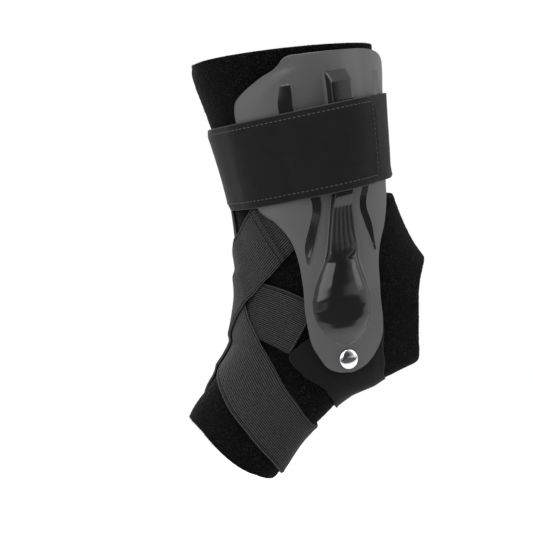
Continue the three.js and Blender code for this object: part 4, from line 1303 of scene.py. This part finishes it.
def flapStitchLines(sizes):
    top = topStrapSizes["low"] + topStrapSizes["width"] - sizes["fromTop"]
    bottom = topStrapSizes["low"] + sizes["fromBottom"]
    last = topStrapSizes["flapEnd"] - np.degrees(sizes["fromEnd"] / topStrapSizes["endRadius"])
    runs = []
    for height in (top, bottom):
        turn = np.linspace(topStrapSizes["flapStart"] + 3, last, 500)
        runs.append((np.full_like(turn, height), turn))
    height = np.linspace(bottom, top, 80)
    runs.append((height, np.full_like(height, last)))
    runs.append((height, np.full_like(height, topStrapSizes["flapStart"] + 3)))
    lines = []
    for height, turn in runs:
        normals = np.cross(onFlap(height, turn + 0.3) - onFlap(height, turn - 0.3),
                           onFlap(height + 0.3, turn) - onFlap(height - 0.3, turn))
        outward = onFlap(height, turn) * [1, 1, 0]
        normals *= np.sign(dot(normals, outward))[:, None]
        lines.append((onFlap(height, turn), normals / np.linalg.norm(normals, axis=1, keepdims=True)))
    return lines


buildStitches("flap_stitches", flapStitchLines(stitchSizes), thread, stitchSizes)

# Stitches in the hem's two grooves, and the bright thread along the saddle strap's cut end
acrossStrap = np.linspace(-16.5, 16.5, 90)
hemMiddle = upperLength - hemSizes["fromEnd"] - hemSizes["slant"] * acrossStrap
toStitches = hemSizes["width"] / 2 - hemSizes["stitchesIn"]
hemLines = [lineOnStrap(upper, acrossStrap, hemMiddle + toSide * toStitches) for toSide in (-1, 1)]
buildStitches("hem_stitches", hemLines, darkThread,
              {**stitchSizes, "pitch": 2.4, "length": 1.8, "radius": 0.3, "proud": 0.15})
saddleEnd = np.full(90, saddle["stations"]["along"][-1] - 0.9)
buildStitches("saddle_end_thread", [lineOnStrap(saddle, acrossStrap, saddleEnd)], thread,
              {**stitchSizes, "pitch": 1.5, "length": 1.7, "radius": 0.3, "proud": 0.25})
print("stitches made")

# Loose loops that stand off the sleeve along its two rims
fuzzSizes = {
    "atTop": 1500,
    "atFront": 1100,
    "radius": 0.055,
    "shortest": 0.5, "longest": 1.6,
    "bands": 0.008,            # of u, beside each rim
    "sides": (0, 2.094, 4.189),  # radians round a loop
}


def buildFuzz(sizes):
    chance = np.random.default_rng(11)
    count = sizes["atTop"] + sizes["atFront"]
    atTop = np.arange(count) < sizes["atTop"]
    inBand = chance.random(count) * sizes["bands"]
    u = np.where(atTop, inBand, 1 - inBand)
    theta = chance.random(count) * 360
    alongU, alongTheta, normal = formSlopes(u, theta)
    outward = alongU / np.linalg.norm(alongU, axis=1, keepdims=True) * np.where(atTop, -1, 1)[:, None]
    sideways = alongTheta / np.linalg.norm(alongTheta, axis=1, keepdims=True)
    root = formPoint(u, theta) + normal * (layers["sleeveWall"] * chance.uniform(0.1, 0.96, count))[:, None]
    heading = outward * chance.uniform(0.3, 1.0, count)[:, None]
    heading = heading + normal * chance.uniform(-0.3, 0.9, count)[:, None]
    heading = heading + sideways * chance.uniform(-0.9, 0.9, count)[:, None]
    heading /= np.linalg.norm(heading, axis=1, keepdims=True)
    curl = np.cross(heading, chance.normal(size=(count, 3)))
    length = chance.uniform(sizes["shortest"], sizes["longest"], count)[:, None]
    first = np.cross(heading, [0.31, 0.52, 0.79])
    first /= np.linalg.norm(first, axis=1, keepdims=True)
    second = np.cross(heading, first)
    points, faces = [], []
    for share in (-0.3, 0.35, 0.75, 1.0):
        middle = root + heading * length * share + curl * length * 0.35 * max(share, 0) ** 2
        for angle in sizes["sides"]:
            points.append(middle + sizes["radius"] * (1 - 0.5 * max(share, 0))
                          * (first * math.cos(angle) + second * math.sin(angle)))
    points = np.stack(points, axis=1).reshape(-1, 3)
    for n in range(count):
        at = n * 12
        for row in (at, at + 3, at + 6):
            for j in range(3):
                k = (j + 1) % 3
                faces.append((row + j, row + k, row + 3 + k, row + 3 + j))
        faces += [(at + 2, at + 1, at), (at + 9, at + 10, at + 11)]
    return makePiece("sleeve_rim_fuzz", points, faces, fuzzy)


buildFuzz(fuzzSizes)
print("loose loops made")
